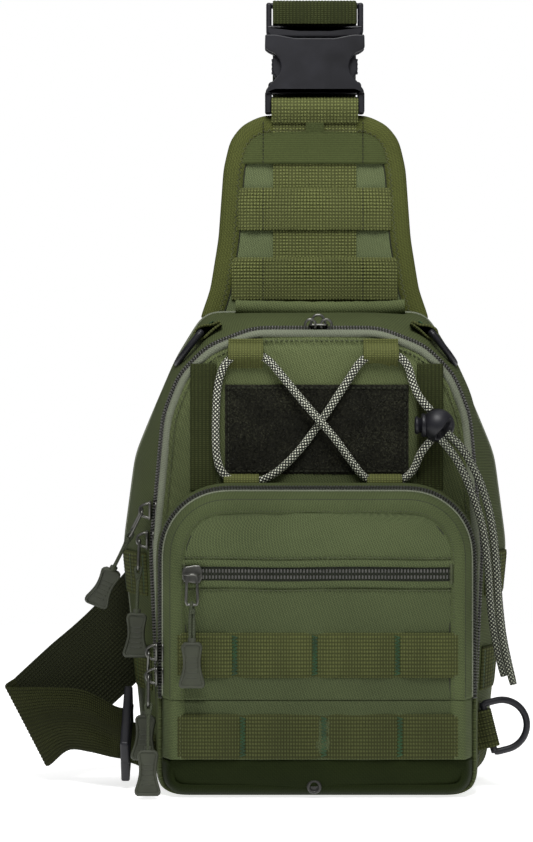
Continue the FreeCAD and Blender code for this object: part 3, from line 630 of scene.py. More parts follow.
# the line of a curve whose control points are the route's points, in millimetres
def cordLine(name, points):
    curve = bpy.data.curves.new(name, "CURVE")
    curve.dimensions, curve.resolution_u = "3D", 10
    spline = curve.splines.new("NURBS")
    spline.points.add(len(points) - 1)
    spline.points.foreach_set("co",
                              np.hstack([np.array(points, float) * mm, np.ones((len(points), 1))]).ravel())
    spline.order_u, spline.use_endpoint_u = 3, True
    holder = bpy.data.objects.new(name, curve)
    line = bpy.data.meshes.new_from_object(holder)
    path = np.empty(len(line.vertices) * 3)
    line.vertices.foreach_get("co", path)
    bpy.data.objects.remove(holder)
    return path.reshape(-1, 3) / mm


# a braided cord with a faint twill relief; its free end is burnt shut, a little thinner
def cordPiece(name, points, node, body, frayed=True):
    path = cordLine(name + "Line", points)
    grow = np.ones(len(path))
    if frayed:
        grow[-2:] = (0.99, 0.9)
    shapes = sweep(path, circle(lace["radius"], 14), up=(0.31, 0.2, 0.93), grow=grow)
    # the tails get the braid with painted shade
    obj = makePiece(name, shapes, body, [shadedTailBraid if "Tail" in name else braid], hides=[node])
    return obj, path * mm


cordPiece("laceCord", lace["route"], "lace_cord", "front", frayed=False)
for name, points, node in (("cordTailFront", tailA, "cord_tail_a"), ("cordTailRear", tailB, "cord_tail_b")):
    obj, line = cordPiece(name, points, node, "front")


# main front panel
frontSide = [(76.1, 0), (88.4, 12), (94, 140), (87, 217), (78, 240), (62, 256), (36, 266)]
backSide = [(86, 0), (98, 10), (111, 140), (104, 193), (95, 215), (80, 250), (64, 276)]
frontLoop, frontOut = outline(frontSide, soft=5)
panel = {"front": -26, "crown": 1.2, "seam": 5.6}


# rings of an outline shrunk to its centre; depth gives y from x, z and the share of the way out
def discPoints(loop, centre, levels, depth):
    share = np.asarray(levels)[:, None]
    x = centre[0] + (loop[None, :, 0] - centre[0]) * share
    z = centre[1] + (loop[None, :, 1] - centre[1]) * share
    return np.stack([x, depth(x, z, np.broadcast_to(share, x.shape)), z], -1)


# a closed panel whose map is its own width and height
def disc(loop, centre, levels, depth):
    points = discPoints(loop, centre, levels, depth)
    return gridShape(points, closeV=True, uv=points[..., [0, 2]])


# a shallow crown, slow folds, a sewn groove near the rim and a rim that turns back
def panelDepth(x, z, share):
    inward = (1 - share) * 92
    y = panel["front"] - panel["crown"] * (1 - share ** 2) - 0.55 * ripple(x, z, 3, 46)
    y = y + 0.7 * np.exp(-((inward - panel["seam"]) / 1.3) ** 2) + 2.6 * np.clip(1 - inward / 4.5, 0, 1) ** 2
    y = y + 1.6 * np.clip((share - 0.8) / 0.2, 0, 1) ** 2
    return y + 0.22 * np.sin((x + z) * 0.75) * np.exp(-((inward - 8) / 5) ** 2)


levels = np.concatenate([np.linspace(0, 0.9, 44), np.linspace(0.91, 1.0, 14)])
makePiece("mainFrontPanel", [disc(frontLoop, (0, 130), levels, panelDepth)],
          "front", [frontClothMaterial], hides=["main_front_panel"], thick=2.4)
archLoop, archOut = archFrom(frontLoop, frontOut, 16)
makePiece("mainPiping", sweep(in3d(archLoop, archOut, 1.4, -24.6), circle(2.3, 12)), "front",
          [pipingMaterial])
seamLine = in3d(archLoop, archOut, panel["seam"], -26.4)
makePiece("mainPanelStitches", [stitches(seamLine, 2.9, 1.9, 0.6)], "front", [threadMaterial])

# zip tapes and their coils
tape = {"pitch": 1.7, "tooth": 2.0, "width": 0.95}


# short bars across a tape's edge, one for each turn of a nylon coil
def coilRow(path, out, pitch=tape["pitch"]):
    n = int(np.linalg.norm(np.diff(path, axis=0), axis=1).sum() / pitch)
    at = np.linspace(0, len(path) - 1, n)
    pick = np.minimum(at.astype(int), len(path) - 2)
    part = (at - pick)[:, None]
    places = path[pick] * (1 - part) + path[pick + 1] * part
    away = unit(out[pick])
    along = unit(path[pick + 1] - path[pick])
    over = np.cross(along, away)
    return copies(capsule(tape["tooth"], tape["width"], 1.1), places, over, along, away, mat=1)


# a woven strip round an outline, with one row of coil on the outer face of its arch
def tapeRing(name, loop, normals, section, body, node, teeth, low=None, coil=None):
    arch, archNormals = archFrom(loop, normals, low or 60)
    if low:
        loop, normals = arch, archNormals
    line = in3d(arch, archNormals, *teeth)
    out = unit(np.stack([archNormals[:, 0], np.full(len(arch), -0.9), archNormals[:, 1]], 1))
    shapes = [carry(loop, normals, section, closed=not low), coilRow(line, out)]
    return makePiece(name, shapes, body, [tapeMaterial, coil or coilMaterial], hides=[node],
                     weld=False)


tapeRing("mainZipFrontTape", frontLoop, frontOut,
         [(3, -21.4), (0.8, -21.6), (-0.7, -20.6), (-1.6, -19.2), (-0.6, -19.0), (3, -19.3)],
         "front", "main_zip_front_tape", (-1.1, -20.7))
tapeRing("mainZipRearTape", frontLoop, frontOut,
         [(3, -18.8), (-1.4, -18.8), (-2.4, -17.8), (-3.4, -15.6), (-2.2, -15.4), (3, -15.6)],
         "bag", "main_zip_rear_tape", (-2.6, -18.4))

# main gusset, back and their seams
backLoop, backOut = outline(backSide, soft=5, count=len(frontLoop))
gusset = {"front": -15.6, "back": 38, "thick": 2.4, "bulge": 2.6, "rise": 3.2, "foot": 1.2}


# straight lines from the front outline to the back one, pushed out like a shallow arch
def gussetGrid(shares):
    v = np.asarray(shares)[None, :, None]
    outward = frontOut[:, None] * (1 - v) + backOut[:, None] * v
    flatPart = frontLoop[:, None] * (1 - v) + backLoop[:, None] * v
    depth = gusset["front"] + (gusset["back"] - gusset["front"]) * v[..., 0] + np.zeros(flatPart.shape[:2])
    fold = 0.5 * ripple(flatPart[..., 0] * 0.3 + depth, flatPart[..., 1], 5, 34)
    swell = np.clip((flatPart[..., 1] - 8) / 30, 0, 1)
    arch = np.sin(np.pi * v[..., 0])
    push = gusset["rise"] + swell * (gusset["bulge"] * arch + fold * arch)
    flatPart = flatPart + outward * (push - gusset["thick"] / 2)[..., None]
    return np.stack([flatPart[..., 0], depth, np.maximum(flatPart[..., 1], gusset["foot"])], -1)


makePiece("mainGusset", [gridShape(gussetGrid(np.linspace(0, 1, 30)), closeU=True)], "bag",
          [paintedShadeCloth], hides=["main_gusset"], thick=gusset["thick"])
backSheet = disc(backLoop + backOut * 2, (0, 130), np.linspace(0, 1, 24), lambda x, z, share: 41.5 + 0 * x)
makePiece("backPanel", [backSheet], "bag", [clothMaterial], hides=["back_panel"], thick=3.0)
makePiece("backBinding", sweep(in3d(backLoop, backOut, -1.6, 40.6), circle(2.6, 10), closed=True), "bag",
          [pipingMaterial])
backPadSide = [(72, 14), (89, 28), (96.6, 140), (86.6, 196), (55.5, 254)]
padLoop, padOut = outline(backPadSide, soft=6)


# padding with three upright and four level sewn channels and a rounded rim
def quiltDepth(x, z, share):
    uprights = np.exp(-((np.mod(x + 28, 56) - 28) / 2.6) ** 2)
    channel = uprights + np.exp(-((np.mod(z - 12, 52) - 26) / 2.6) ** 2)
    rimTurn = np.clip((share - 0.9) / 0.1, 0, 1)
    return 50.3 - 3.0 * np.clip(channel, 0, 1) - 6.5 * rimTurn ** 2.5


backPad = makePiece("backPad", [disc(padLoop, (0, 132), np.linspace(0, 1, 60), quiltDepth)], "bag",
                    [meshMaterial], hides=["back_pad"], thick=1.2)
x, z = np.linspace(-70, 70, 50)[:, None], np.linspace(20, 150, 40)[None]
innerPocket = sheet(x, 36.6 + 0.5 * np.sin(x / 9 + z / 14), z)
makePiece("innerPocket", [gridShape(innerPocket)], "bag", [liningMaterial], hides=["inner_pocket"],
          thick=0.8)
print("main compartment ready")


# front pocket
# the right side of a plate: two quarter circles joined by a straight edge
def roundedSide(half, low, high, lowRadius, highRadius):
    a = np.linspace(0, np.pi / 2, 9)
    below = np.stack([half - lowRadius + lowRadius * np.sin(a), low + lowRadius - lowRadius * np.cos(a)], 1)
    above = np.stack([half - highRadius + highRadius * np.cos(a),
                      high - highRadius + highRadius * np.sin(a)], 1)
    return list(map(tuple, np.vstack([below, above])))


pocket = {"face": -60.4, "split": 56.2, "band": 12.0, "coated": 22.5, "top": 174}
pocketLoop, pocketOut = outline(roundedSide(88, 1.5, pocket["top"], 11, 36), soft=3)


# half the width at each level, measured inwards from the edge line by a fixed amount
def pocketHalf(z, inward):
    inner = pocketLoop - pocketOut * inward
    right = inner[inner[:, 0] > 0]
    right = right[np.argsort(right[:, 1])]
    return np.interp(z, right[:, 1], right[:, 0])


# cloth stretched over a full pocket: a crown, folds that fade to the edges, dents beside the webbing rows
def pocketDepth(x, z):
    u = x / 80
    crown = 1.5 * (1 - u ** 2) * np.clip((pocket["top"] - z) / 60, 0, 1) ** 0.5
    folds = 0.5 * ripple(x, z * 0.8, 21, 40) + 0.3 * ripple(x * 0.5, z, 22, 16)
    rows = sum(0.5 * np.exp(-((z - level) / 3.0) ** 2) for level in (22, 50, 68, 95))
    rows = rows + 2.0 * np.clip(1 - np.abs(z - 127.5) / 8, 0, 1) ** 0.5
    return pocket["face"] - crown - folds * (1 - np.clip(np.abs(u), 0, 1) ** 4) + rows


# a panel between two levels, as wide as the pocket less its band
def faceRows(low, high, inward, pitch=1.6):
    z = np.linspace(low, high, max(4, int((high - low) / pitch)))[None]
    x = np.linspace(-1, 1, 130)[:, None] * pocketHalf(z, inward)
    return sheet(x, pocketDepth(x, z), z)


upperRows = faceRows(pocket["split"], pocket["top"] - pocket["band"] - 0.15, pocket["band"])
upperFace = makePiece("pocketUpperFace", [gridShape(upperRows)], None, [pocketClothMaterial],
                      hides=["pocket_flap"], thick=1.6)
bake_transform(upperFace)
makePiece("pocketLowerFace", [gridShape(faceRows(pocket["coated"], pocket["split"] - 0.4, pocket["band"]))],
          "front", [pocketClothMaterial], hides=["pocket_lower_face"], thick=1.6)
# the border: a raised strip between two sewn seams, then the turn back to the zip
border = [(13.4, -60.0), (12.4, -60.6), (11.6, -61.4), (9.8, -61.9), (7.6, -61.8), (6.0, -61.3), (5.0, -60.2),
          (4.2, -58.6), (3.2, -56), (1.8, -52.5), (0.2, -48.7)]


# the border carried round one stretch of the pocket's edge, its last point at a given depth
def borderPiece(name, low, high, body, end=-48.7):
    section = [(a, min(b, end)) for a, b in border]
    section[-1] = (0.1, end)
    stretches = ([archFrom(pocketLoop, pocketOut, low)] if high > 170 else
                 [exactStretch(pocketLoop, pocketOut, low, high, k) for k in (1, -1)])
    shapes = [carry(a, b, section, closed=False) for a, b in stretches]
    return makePiece(name, shapes, body, [borderMaterial], thick=1.4)


upperBorder = borderPiece("pocketUpperBorder", pocket["split"], 1e9, None)
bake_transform(upperBorder)
borderPiece("pocketLowerBorder", pocket["coated"], pocket["split"] - 0.3, "front", end=-45.6)
coatedLoop, coatedOut = archOf(pocketLoop, pocketOut, -5, pocket["coated"])
bottomRows = faceRows(6.5, pocket["coated"], 4.5, pitch=1.4)
heightRamp = np.clip((pocket["coated"] - bottomRows[..., 2]) / 16, 0, 1)
ends = np.clip((np.abs(bottomRows[..., 0]) - 72) / 10, 0, 1)
bottomRows[..., 1] += 0.4 + 4.2 * heightRamp ** 2.2 + 1.6 * ends ** 2
coatedSection = [(6.5, -58.0), (4.6, -57.6), (2.8, -55.6), (1.4, -52), (0.3, -48), (0.1, -45.6)]
coatedEdge = carry(coatedLoop, coatedOut, coatedSection, closed=False)
makePiece("pocketCoatedStrip", [gridShape(bottomRows), coatedEdge], "front", [coatedMaterial],
          thick=1.4)
loop, normals = archOf(pocketLoop, pocketOut, pocket["split"])
for name, inward, depth in (("borderInnerSeamUpper", 13.3, -60.9), ("borderOuterSeamUpper", 4.7, -60.2)):
    makePiece(name, sweep(in3d(loop, normals, inward, depth), circle(0.55, 6)), "flap", [darkThread])
makePiece("pocketBorderStitches", [stitches(in3d(loop, normals, 11.0, -62.1), 2.9, 1.9, 0.5)], "flap",
          [threadMaterial])
makePiece("pocketFlapPiping", sweep(in3d(loop, normals, 0.2, -49.4), circle(1.0, 8)), "flap",
          [pipingMaterial])
print("pocket face ready")

# the pocket's zip and sides
tapeRing("pocketZipFrontTape", pocketLoop, pocketOut, [(3, -48.5), (-0.6, -48.6), (-1.8, -47.2), (3, -47.1)],
         "flap", "pocket_zip_front_tape", (-1.2, -48.6), low=56.3, coil=darkCoil)
tapeRing("pocketZipRearTape", pocketLoop, pocketOut, [(3, -46.9), (-1.9, -46.9), (-3.0, -45.4), (3, -45.5)],
         "front", "pocket_zip_rear_tape", (-2.5, -46.9), low=56.3, coil=darkCoil)
sideDepths = np.linspace(-45.4, -26, 16)
sideSection = np.stack([-1.2 - 2.2 * np.sin(np.linspace(0.2, 2.4, 16)), sideDepths], 1)
makePiece("pocketGusset", [carry(pocketLoop, pocketOut, sideSection)], "front", [paintedShadeCloth],
          hides=["pocket_gusset"], thick=2.0)

# webbing rows
rows = {"half": 80, "tall": 25, "depth": -62.0, "rib": 0.38, "pitch": 1.75, "slack": 0.9, "step": 0.28}


# webbing across a face: fine upright ribs, a soft edge, and slack that swells between the tacks
def ribbedBand(low, tacks):
    x = np.linspace(-rows["half"], rows["half"], int(2 * rows["half"] / rows["step"]))[:, None]
    z = np.linspace(low, low + rows["tall"], 22)[None]
    held = sum(np.exp(-((x - t) / 4.5) ** 2) for t in (-rows["half"], *tacks, rows["half"]))
    edge = np.minimum(z - low, low + rows["tall"] - z)
    cross = (0.5 + 0.5 * np.cos(2 * np.pi * x / rows["pitch"])) * (0.6 + 0.4 * np.cos(2 * np.pi * z / 2.1))
    y = rows["depth"] - rows["slack"] * (1 - np.clip(held, 0, 1))
    y = y - rows["rib"] * cross * np.clip(edge / 0.8, 0, 1) + 0.8 * np.clip(1 - edge / 0.7, 0, 1)
    return sheet(x, y, z)


# a bar tack: thread laid tightly from side to side
def zigzag(x, z0, z1, depth, width=1.7, turns=11):
    z = np.linspace(z0, z1, turns * 2 + 1)
    path = np.stack([x + width * np.where(np.arange(len(z)) % 2 == 0, -1, 1), np.full(len(z), depth), z], 1)
    return sweep(evenPath(path, 0.9), circle(0.42, 5), up=(0, -1, 0))


rowTacks = {"webbingRowLower": ("face_webbing_lower", "front", 23, (-42.5, 3.4, 46.4)),
            "webbingRowUpper": ("face_webbing_upper", "flap", 69, (-47, -1.7, 45))}
for name, (node, body, low, tacks) in rowTacks.items():
    depth = rows["depth"]
    makePiece(name, [gridShape(ribbedBand(low, tacks))], body, [webbingMaterial], hides=[node],
              thick=0.9)
    sewn = [s for t in tacks for s in zigzag(t, low + 1.5, low + rows["tall"] - 1.5, depth - 0.75)]
    makePiece(name + "Tacks", sewn, body, [tackThread])
    ends = [stitches([(x, depth - 0.45, low + 1), (x, depth - 0.45, low + 24)], 2.2, 1.7, 0.6)
            for x in (-77.5, -73.5, 77.5, 73.5)]
    makePiece(name + "EndStitches", ends, body, [paleThread])
print("webbing rows ready")

# small zip on the pocket
smallZip = {"low": 121, "high": 134, "half": 76, "middle": 127.5, "points": 200}


# the small zip lies on the crowned cloth, a little lower at its ends
def zipDepth(x):
    return -60.9 - 1.3 * (1 - (x / 80) ** 2)


x = np.linspace(-smallZip["half"], smallZip["half"], 90)[:, None]
z = np.linspace(smallZip["low"], smallZip["high"], 12)[None]
tapeSheet = sheet(x, zipDepth(x), z)
x = np.linspace(-74, 75, smallZip["points"])
line = sheet(x, zipDepth(x) - 0.6, smallZip["middle"])
away = np.tile((0, -1.0, 0), (smallZip["points"], 1))
teeth = [coilRow(line + (0, 0, offset), away, 1.8) for offset in (-1.75, 1.75)]
makePiece("smallZip", [gridShape(tapeSheet)] + teeth, "flap", [tapeMaterial, coilMaterial],
          hides=["small_zip"], weld=False)
for side, edge in ((-1, smallZip["low"] + 0.6), (1, smallZip["high"] - 0.6)):
    x = np.linspace(-77, 77, 120)
    lip = np.stack([x, zipDepth(x) - 0.5, edge + 0.25 * np.sin(x / 13)], 1)
    label = "Low" if side < 0 else "High"
    section = circle(1.0, 12) * (2.0, 0.95)
    makePiece("smallZipFold" + label, sweep(lip, section, up=(0, -1, 0)), "flap",
              [pocketClothMaterial])
    makePiece("smallZipSeam" + label, [stitches(lip + (0, -0.3, side * 3.2), 2.8, 1.9, 0.55)], "flap",
              [threadMaterial])
for x, label in ((-75.5, "Left"), (75.5, "Right")):
    makePiece("smallZipEnd" + label, zigzag(x, 122, 133, -62.6, 1.0, 12), "flap", [threadMaterial])
liner = sheet(np.linspace(-78, 78, 50)[:, None], -57.0, np.linspace(62, 136, 30)[None])
makePiece("smallPocketLiner", [gridShape(liner)], "flap", [liningMaterial],
          hides=["small_pocket_liner"], thick=0.7)

# eyelet
a = np.linspace(0, 2 * np.pi, 28, endpoint=False)
eye = np.stack([-2 + 3.2 * np.cos(a), np.full(28, -59.2), 7 + 3.2 * np.sin(a)], 1)
makePiece("drainEyelet", sweep(eye, circle(1.0, 10), closed=True) + [fan(eye + (0, 0.6, 0))], "front",
          [blackened], hides=["drain_eyelet"])

# patch field, side strips and lace loops
patch = {"half": 53, "low": 183, "high": 235, "depth": -28.2, "tufts": 5200}
x = np.linspace(-patch["half"], patch["half"], 150)[:, None]
z = np.linspace(patch["low"], patch["high"], 74)[None]
rough = rng.normal(0, 0.16, (150, 74))
edge = np.minimum(patch["half"] - np.abs(x), np.minimum(z - patch["low"], patch["high"] - z))
surface = sheet(x, patch["depth"] - 0.6 * np.clip(edge / 2, 0, 1) ** 0.5 + rough, z)
count = patch["tufts"]
acrossSpots, upSpots = rng.uniform(-52, 52, count), rng.uniform(184, 234, count)
spots = sheet(acrossSpots, patch["depth"] - 0.5, upSpots)
lean = unit(sheet(rng.normal(0, 0.5, count), -1.0, rng.normal(0, 0.5, count)))
sideways = unit(np.cross(lean, (0.3, 0.1, 1.0)))
tuftVerts = np.array([(0, -0.35, 0), (0, 0.35, 0), (0.3, 0, 0.3), (1.25, 0.1, 0)])
tuftFaces = np.array([(0, 1, 3), (1, 2, 3), (2, 0, 3)])
tufts = copies((tuftVerts, tuftFaces), spots, lean, sideways, np.cross(lean, sideways))
makePiece("patchField", [gridShape(surface), tufts], "front", [pile], hides=["patch_field"],
          weld=False)
patchEdge = [(x, -29.1, z) for x, z in ((-51, 185), (51, 185), (51, 233), (-51, 233), (-51, 185))]
makePiece("patchStitches", [stitches(patchEdge[k:k + 2], 3.0, 2.0, 0.7) for k in range(4)], "front",
          [darkThread])
strips = []
for side in (-1, 1):
    z = np.linspace(174, 247, 150)[:, None]
    across = np.linspace(58, 73, 12)[None]
    ribs = 0.15 * np.cos(2 * np.pi * across / 1.9) + 0.1 * np.cos(2 * np.pi * z / 1.3)
    strips.append(gridShape(sheet(side * across, -27.6 + ribs, z)))
makePiece("sideStrips", strips, "front", [darkWebbingMaterial], hides=["side_strips"], thick=1.2)
shapes = []
for x0, z0 in ((-41, 253), (37, 253), (-43.5, 178.5), (39, 178.5)):
    route = [(z0 - 8.5, -26.7), (z0 - 5.2, -27.3), (z0 - 3.9, -30.5), (z0 - 2.7, -33.4), (z0, -34.2),
             (z0 + 2.7, -33.4), (z0 + 3.9, -30.5), (z0 + 5.2, -27.3), (z0 + 8.5, -26.7)]
    arch = smoothPath([(0, y, z) for z, y in route], 44)
    across = np.linspace(-10, 10, 40)
    ribs = 0.18 * np.cos(2 * np.pi * across / 1.25)
    push = unit(np.stack([0 * arch[:, 0], arch[:, 1] + 27, arch[:, 2] - z0], 1))
    shapes.append(gridShape(sheet(x0 + across, arch[:, None, 1] + push[:, None, 1] * ribs,
                                  arch[:, None, 2] + push[:, None, 2] * ribs)))
makePiece("laceLoops", shapes, "front", [loopWebbing], hides=["lace_loops"], thick=0.9)
print("front ready")


# side webbing rows
levelsZ = np.linspace(0, 270, 271)
frontHalf, backHalf = halfWidth(frontSide, levelsZ, 5), halfWidth(backSide, levelsZ, 5)


# how far out the gusset's face lies at each level and share of its depth
def gussetX(z, v, lift):
    wide = np.interp(z, levelsZ, frontHalf) * (1 - v) + np.interp(z, levelsZ, backHalf) * v
    return wide + gusset["bulge"] * np.sin(np.pi * v) * np.clip((z - 8) / 30, 0, 1) + gusset["rise"] + lift


sideRows = {"lows": (6, 57, 112), "tall": 25, "tacks": (-10, 12, 36), "origin": 16, "span": 54}
for side, label in ((-1, "Left"), (1, "Right")):
    bands, tacks = [], []
    for low in sideRows["lows"]:
        y = np.linspace(-12, 37.5, 170)[:, None]
        z = np.linspace(low, low + sideRows["tall"], 20)[None]
        edge = np.minimum(z - low, low + sideRows["tall"] - z)
        ribs = 0.2 * np.cos(2 * np.pi * y / 1.12) * np.clip(edge, 0, 1)
        x = gussetX(z, (y + sideRows["origin"]) / sideRows["span"], 0.9 + ribs)
        bands.append(gridShape(sheet(side * x, y, z)))
        for place in sideRows["tacks"]:
            for shape in zigzag(place, low + 1.5, low + 23.5, 0, 1.1, 11):
                y, lift, z = shape[0].T
                x = gussetX(z, (y + sideRows["origin"]) / sideRows["span"], 1.7 + np.abs(lift) * 0.4)
                tacks.append((sheet(side * x, y, z), *shape[1:]))
    makePiece("sideWebbing" + label, bands, "bag", [webbingMaterial],
              hides=["side_webbing_" + label.lower()], thick=1.2)
    makePiece("sideTacks" + label, tacks, "bag", [tackThread], weld=False)

# D rings and their tabs
ringSize = {"bar": 14.5, "straight": 8, "wire": 2.0, "tilt": math.radians(51.5)}


# a straight bar, two short sides and a half circle, with its corners slightly round
def ringPath(bar, out):
    bar, out, half = unit(np.array(bar, float)), unit(np.array(out, float)), ringSize["bar"]
    a = np.linspace(0, np.pi, 25)
    flat = [(-half + 2.2, 0), (half - 2.2, 0), (half - 0.6, 0.6), (half, 2.2)]
    flat += [(half * np.cos(t), ringSize["straight"] + half * np.sin(t)) for t in a]
    flat += [(-half, 2.2), (-half + 0.6, 0.6)]
    flat = np.array(flat)
    return flat[:, :1] * bar + flat[:, 1:] * out, np.cross(bar, out)


# a round wire swept along the ring's path
def dRing(name, body, node, centre, bar, out):
    path, up = ringPath(bar, out)
    fine = smoothPath(path, 110, closed=True)
    makePiece(name, sweep(fine + centre, circle(ringSize["wire"], 12), up=up, closed=True), body,
              [blackPlastic], hides=[node])


# a band of webbing along a path, as wide as its width across it, with ribs along its length
def strip(path, across, width, thick, cloth, name, body, node=None, rib=0.16, pitch=1.2):
    line = smoothPath(path, max(30, len(path) * 9))
    tangent = unit(np.gradient(line, axis=0))
    across = unit(np.array(across, float))
    normal = np.cross(tangent, across)
    w = np.linspace(-width / 2, width / 2, int(width / 0.35))
    wave = rib * np.cos(2 * np.pi * w / pitch)[None, :, None]
    points = line[:, None] + across * w[None, :, None] + normal[:, None] * wave
    makePiece(name, [gridShape(points)], body, [cloth], hides=[node] if node else (), thick=thick)


tab = {"wide": 22, "lean": math.radians(34.5)}
for side, name in ((-1, "Left"), (1, "Right")):
    centre, tilt = np.array((side * 67.5, 3, 265.5)), ringSize["tilt"]
    dRing("topRing" + name, "ring_" + name.lower(), "ring_top_" + name.lower(), centre, (0, 1, 0),
          (side * math.cos(tilt), 0, -math.sin(tilt)))
    inward = np.array((-side * math.cos(tab["lean"]), 0, math.sin(tab["lean"])))
    lift = np.array((side * math.sin(tab["lean"]), 0, math.cos(tab["lean"])))
    section = ((13, -2.3), (8, -2.4), (4, -2.9), (-0.5, -3.3), (-3.1, -1.3), (-3.1, 1.3), (-0.5, 3.2),
               (4, 2.4), (8, 0.3), (13, -0.9))
    route = [centre + inward * a + lift * b for a, b in section]
    strip(route, (0, 1, 0), tab["wide"], 1.3, webbingMaterial, "topRingTab" + name, "bag",
          "ring_tabs_top" if side > 0 else None)
    sewn = turned(zigzag(0, -10, 10, 0, 1.4, 12), np.stack([inward, -lift, (0, 1, 0)], 1),
                  centre + inward * 8.5 + lift * 1.5)
    makePiece("topRingTack" + name, sewn, "bag", [tackThread])
lowerOut = np.array((0.970, 0, 0.242))
lowerCentre = np.array((100.5, -12, 35))
dRing("lowerRing", "ring_lower", "ring_lower_right", lowerCentre, (-0.242, 0, 0.970), lowerOut)
section = ((-10, 1.5), (-5, 2.1), (-1, 3.1), (2.4, 2.2), (3.3, 0), (2.4, -2.2), (-1, -3.1), (-5, -2.1),
           (-10, -1.5))
route = [lowerCentre + lowerOut * a + (0, b, 0) for a, b in section]
strip(route, (-0.242, 0, 0.970), tab["wide"], 1.3, webbingMaterial, "lowerRingTab", "bag", "ring_tab_lower")
print("rings ready")

# grab handle
handle = {"from": -47.5, "to": 53.5, "y": 31, "radius": 4.5}
path = smoothPath([(x, handle["y"], z) for x, z in ((handle["from"], 282.2), (-34, 281.8), (0, 281.3),
                                                    (38, 281.6), (handle["to"], 282.6))], 110)
a = np.linspace(0, 2 * np.pi, 36)
roll = handle["radius"] * (0.86 + 0.17 * a / (2 * np.pi))
section = np.stack([np.cos(a + 1.1) * roll, np.sin(a + 1.1) * roll], 1)
creases = 1 + 0.02 * np.sin(np.linspace(0, 60, 110)) + 0.02 * rng.normal(size=110)
shapes = sweep(path, section, up=(0, 0, 1), grow=creases, caps=False)
for k, flip in ((0, 1), (-1, -1)):
    plane = path[k] + np.zeros((36, 3))
    rim1 = plane + np.stack([0 * a, -section[:, 0], section[:, 1]], 1)
    rim2 = plane + np.stack([flip * (2 + 0 * a), -section[:, 0] * 0.66, section[:, 1] * 0.66], 1)
    shapes += [gridShape(np.stack([rim1, rim2]), closeV=True), fan(rim2)]
makePiece("grabHandle", shapes, "handle", [clothMaterial], hides=["grab_handle"])
for k, x0 in enumerate((-39, 43)):
    foot = [(x0, y, z) for y, z in ((33.4, 284), (34.6, 280), (33.6, 276.5), (31.5, 273.6), (27.5, 271.6))]
    strip(foot, (1, 0, 0), 16, 1.1, paintedShadowCloth, "handleFoot" + "AB"[k], "handle", rib=0.05)

# shoulder pad
padSide = [(69, 273), (62, 293), (57, 324), (54, 366), (50, 383), (42.8, 392), (31, 397.5)]
shLoop, shOut = outline(padSide, soft=3.5)


# a crown, slow folds and a rim that turns back
def padFront(x, z, share):
    rimTurn = np.clip((share - 0.9) / 0.1, 0, 1)
    return 43.4 - 0.9 * (1 - share ** 2) - 0.25 * ripple(x, z, 31, 30) + rimTurn


# the same towards the wearer, with a rounder rim
def padBack(x, z, share):
    return 51.6 + 0.8 * (1 - share ** 2) - 2.2 * np.clip((share - 0.85) / 0.15, 0, 1) ** 2


share = np.linspace(0, 1, 40)
padFrontGrid = discPoints(shLoop, (0, 335), share, padFront)
padBackGrid = discPoints(shLoop, (0, 335), share, padBack)
shapes = [disc(shLoop, (0, 335), share, padFront), disc(shLoop, (0, 335), share, padBack),
          gridShape(np.stack([padFrontGrid[-1], padBackGrid[-1]]), closeV=True)]
padBody = makePiece("shoulderPad", shapes, "pad", [lightClothMaterial], hides=["shoulder_pad"])
loop, normals = archOf(shLoop, shOut, 276)
bindSection = [(11.2, 43.2), (10.6, 42.5), (9, 42.2), (5, 42.1), (2, 42.5), (0.3, 43.8), (-0.5, 46),
               (-0.4, 49), (0.8, 51.4), (4, 52.6), (9, 52.9)]
makePiece("padBinding", [carry(loop, normals, bindSection, closed=False)], "pad",
          [bindingMaterial], thick=1.0)
line = in3d(loop, normals, 8.8, 41.6)
walked = evenPath(line, 1.6)
_, across, _ = frames(walked, np.array((0, -1.0, 0)))
zig = walked + across * np.where(np.arange(len(walked)) % 2 == 0, -0.9, 0.9)[:, None]
makePiece("padBindingZigzag", sweep(zig, circle(0.3, 5)), "pad", [paleThread])
makePiece("padInnerSeam", sweep(in3d(loop, normals, 11.6, 42.9), circle(0.5, 6)), "pad",
          [darkThread])
z = np.linspace(274, 398, 260)[:, None]
across = np.linspace(-25, 25, 150)[None]
ribs = 0.14 * np.cos(2 * np.pi * across / 1.6) + 0.1 * np.cos(2 * np.pi * z / 1.1)
lip = smoothPath([(0, 46, 407), (0, 42, 408.6), (0, 38.2, 407), (0, 36.4, 403), (0, 37.4, 398.4),
                  (0, 40.2, 393.5)], 60)
lipGrid = lip[:, None] + sheet(across[0] * 1.04, 0.14 * np.cos(2 * np.pi * across[0] / 1.6), 0.0)[None]
centreShapes = [gridShape(sheet(across, 42.0 + ribs, z)), gridShape(lipGrid)]
makePiece("padCentreWebbing", centreShapes, "pad", [waffle], hides=["pad_centre_webbing"],
          thick=1.1)
padLevels = np.linspace(276, 396, 121)
innerEdge = shLoop - shOut * 9.5
innerEdge = innerEdge[innerEdge[:, 0] > 0]
innerEdge = innerEdge[np.argsort(innerEdge[:, 1])]
padInner = np.interp(padLevels, innerEdge[:, 1], innerEdge[:, 0])
padRows = {"padRowLow": (50, 287, 312, 0.30, waffle), "padRowMiddle": (46, 329, 354, 0.30, waffle),
           "padRowHigh": (43.5, 369, 394, 0.05, smoothWebbingMaterial)}
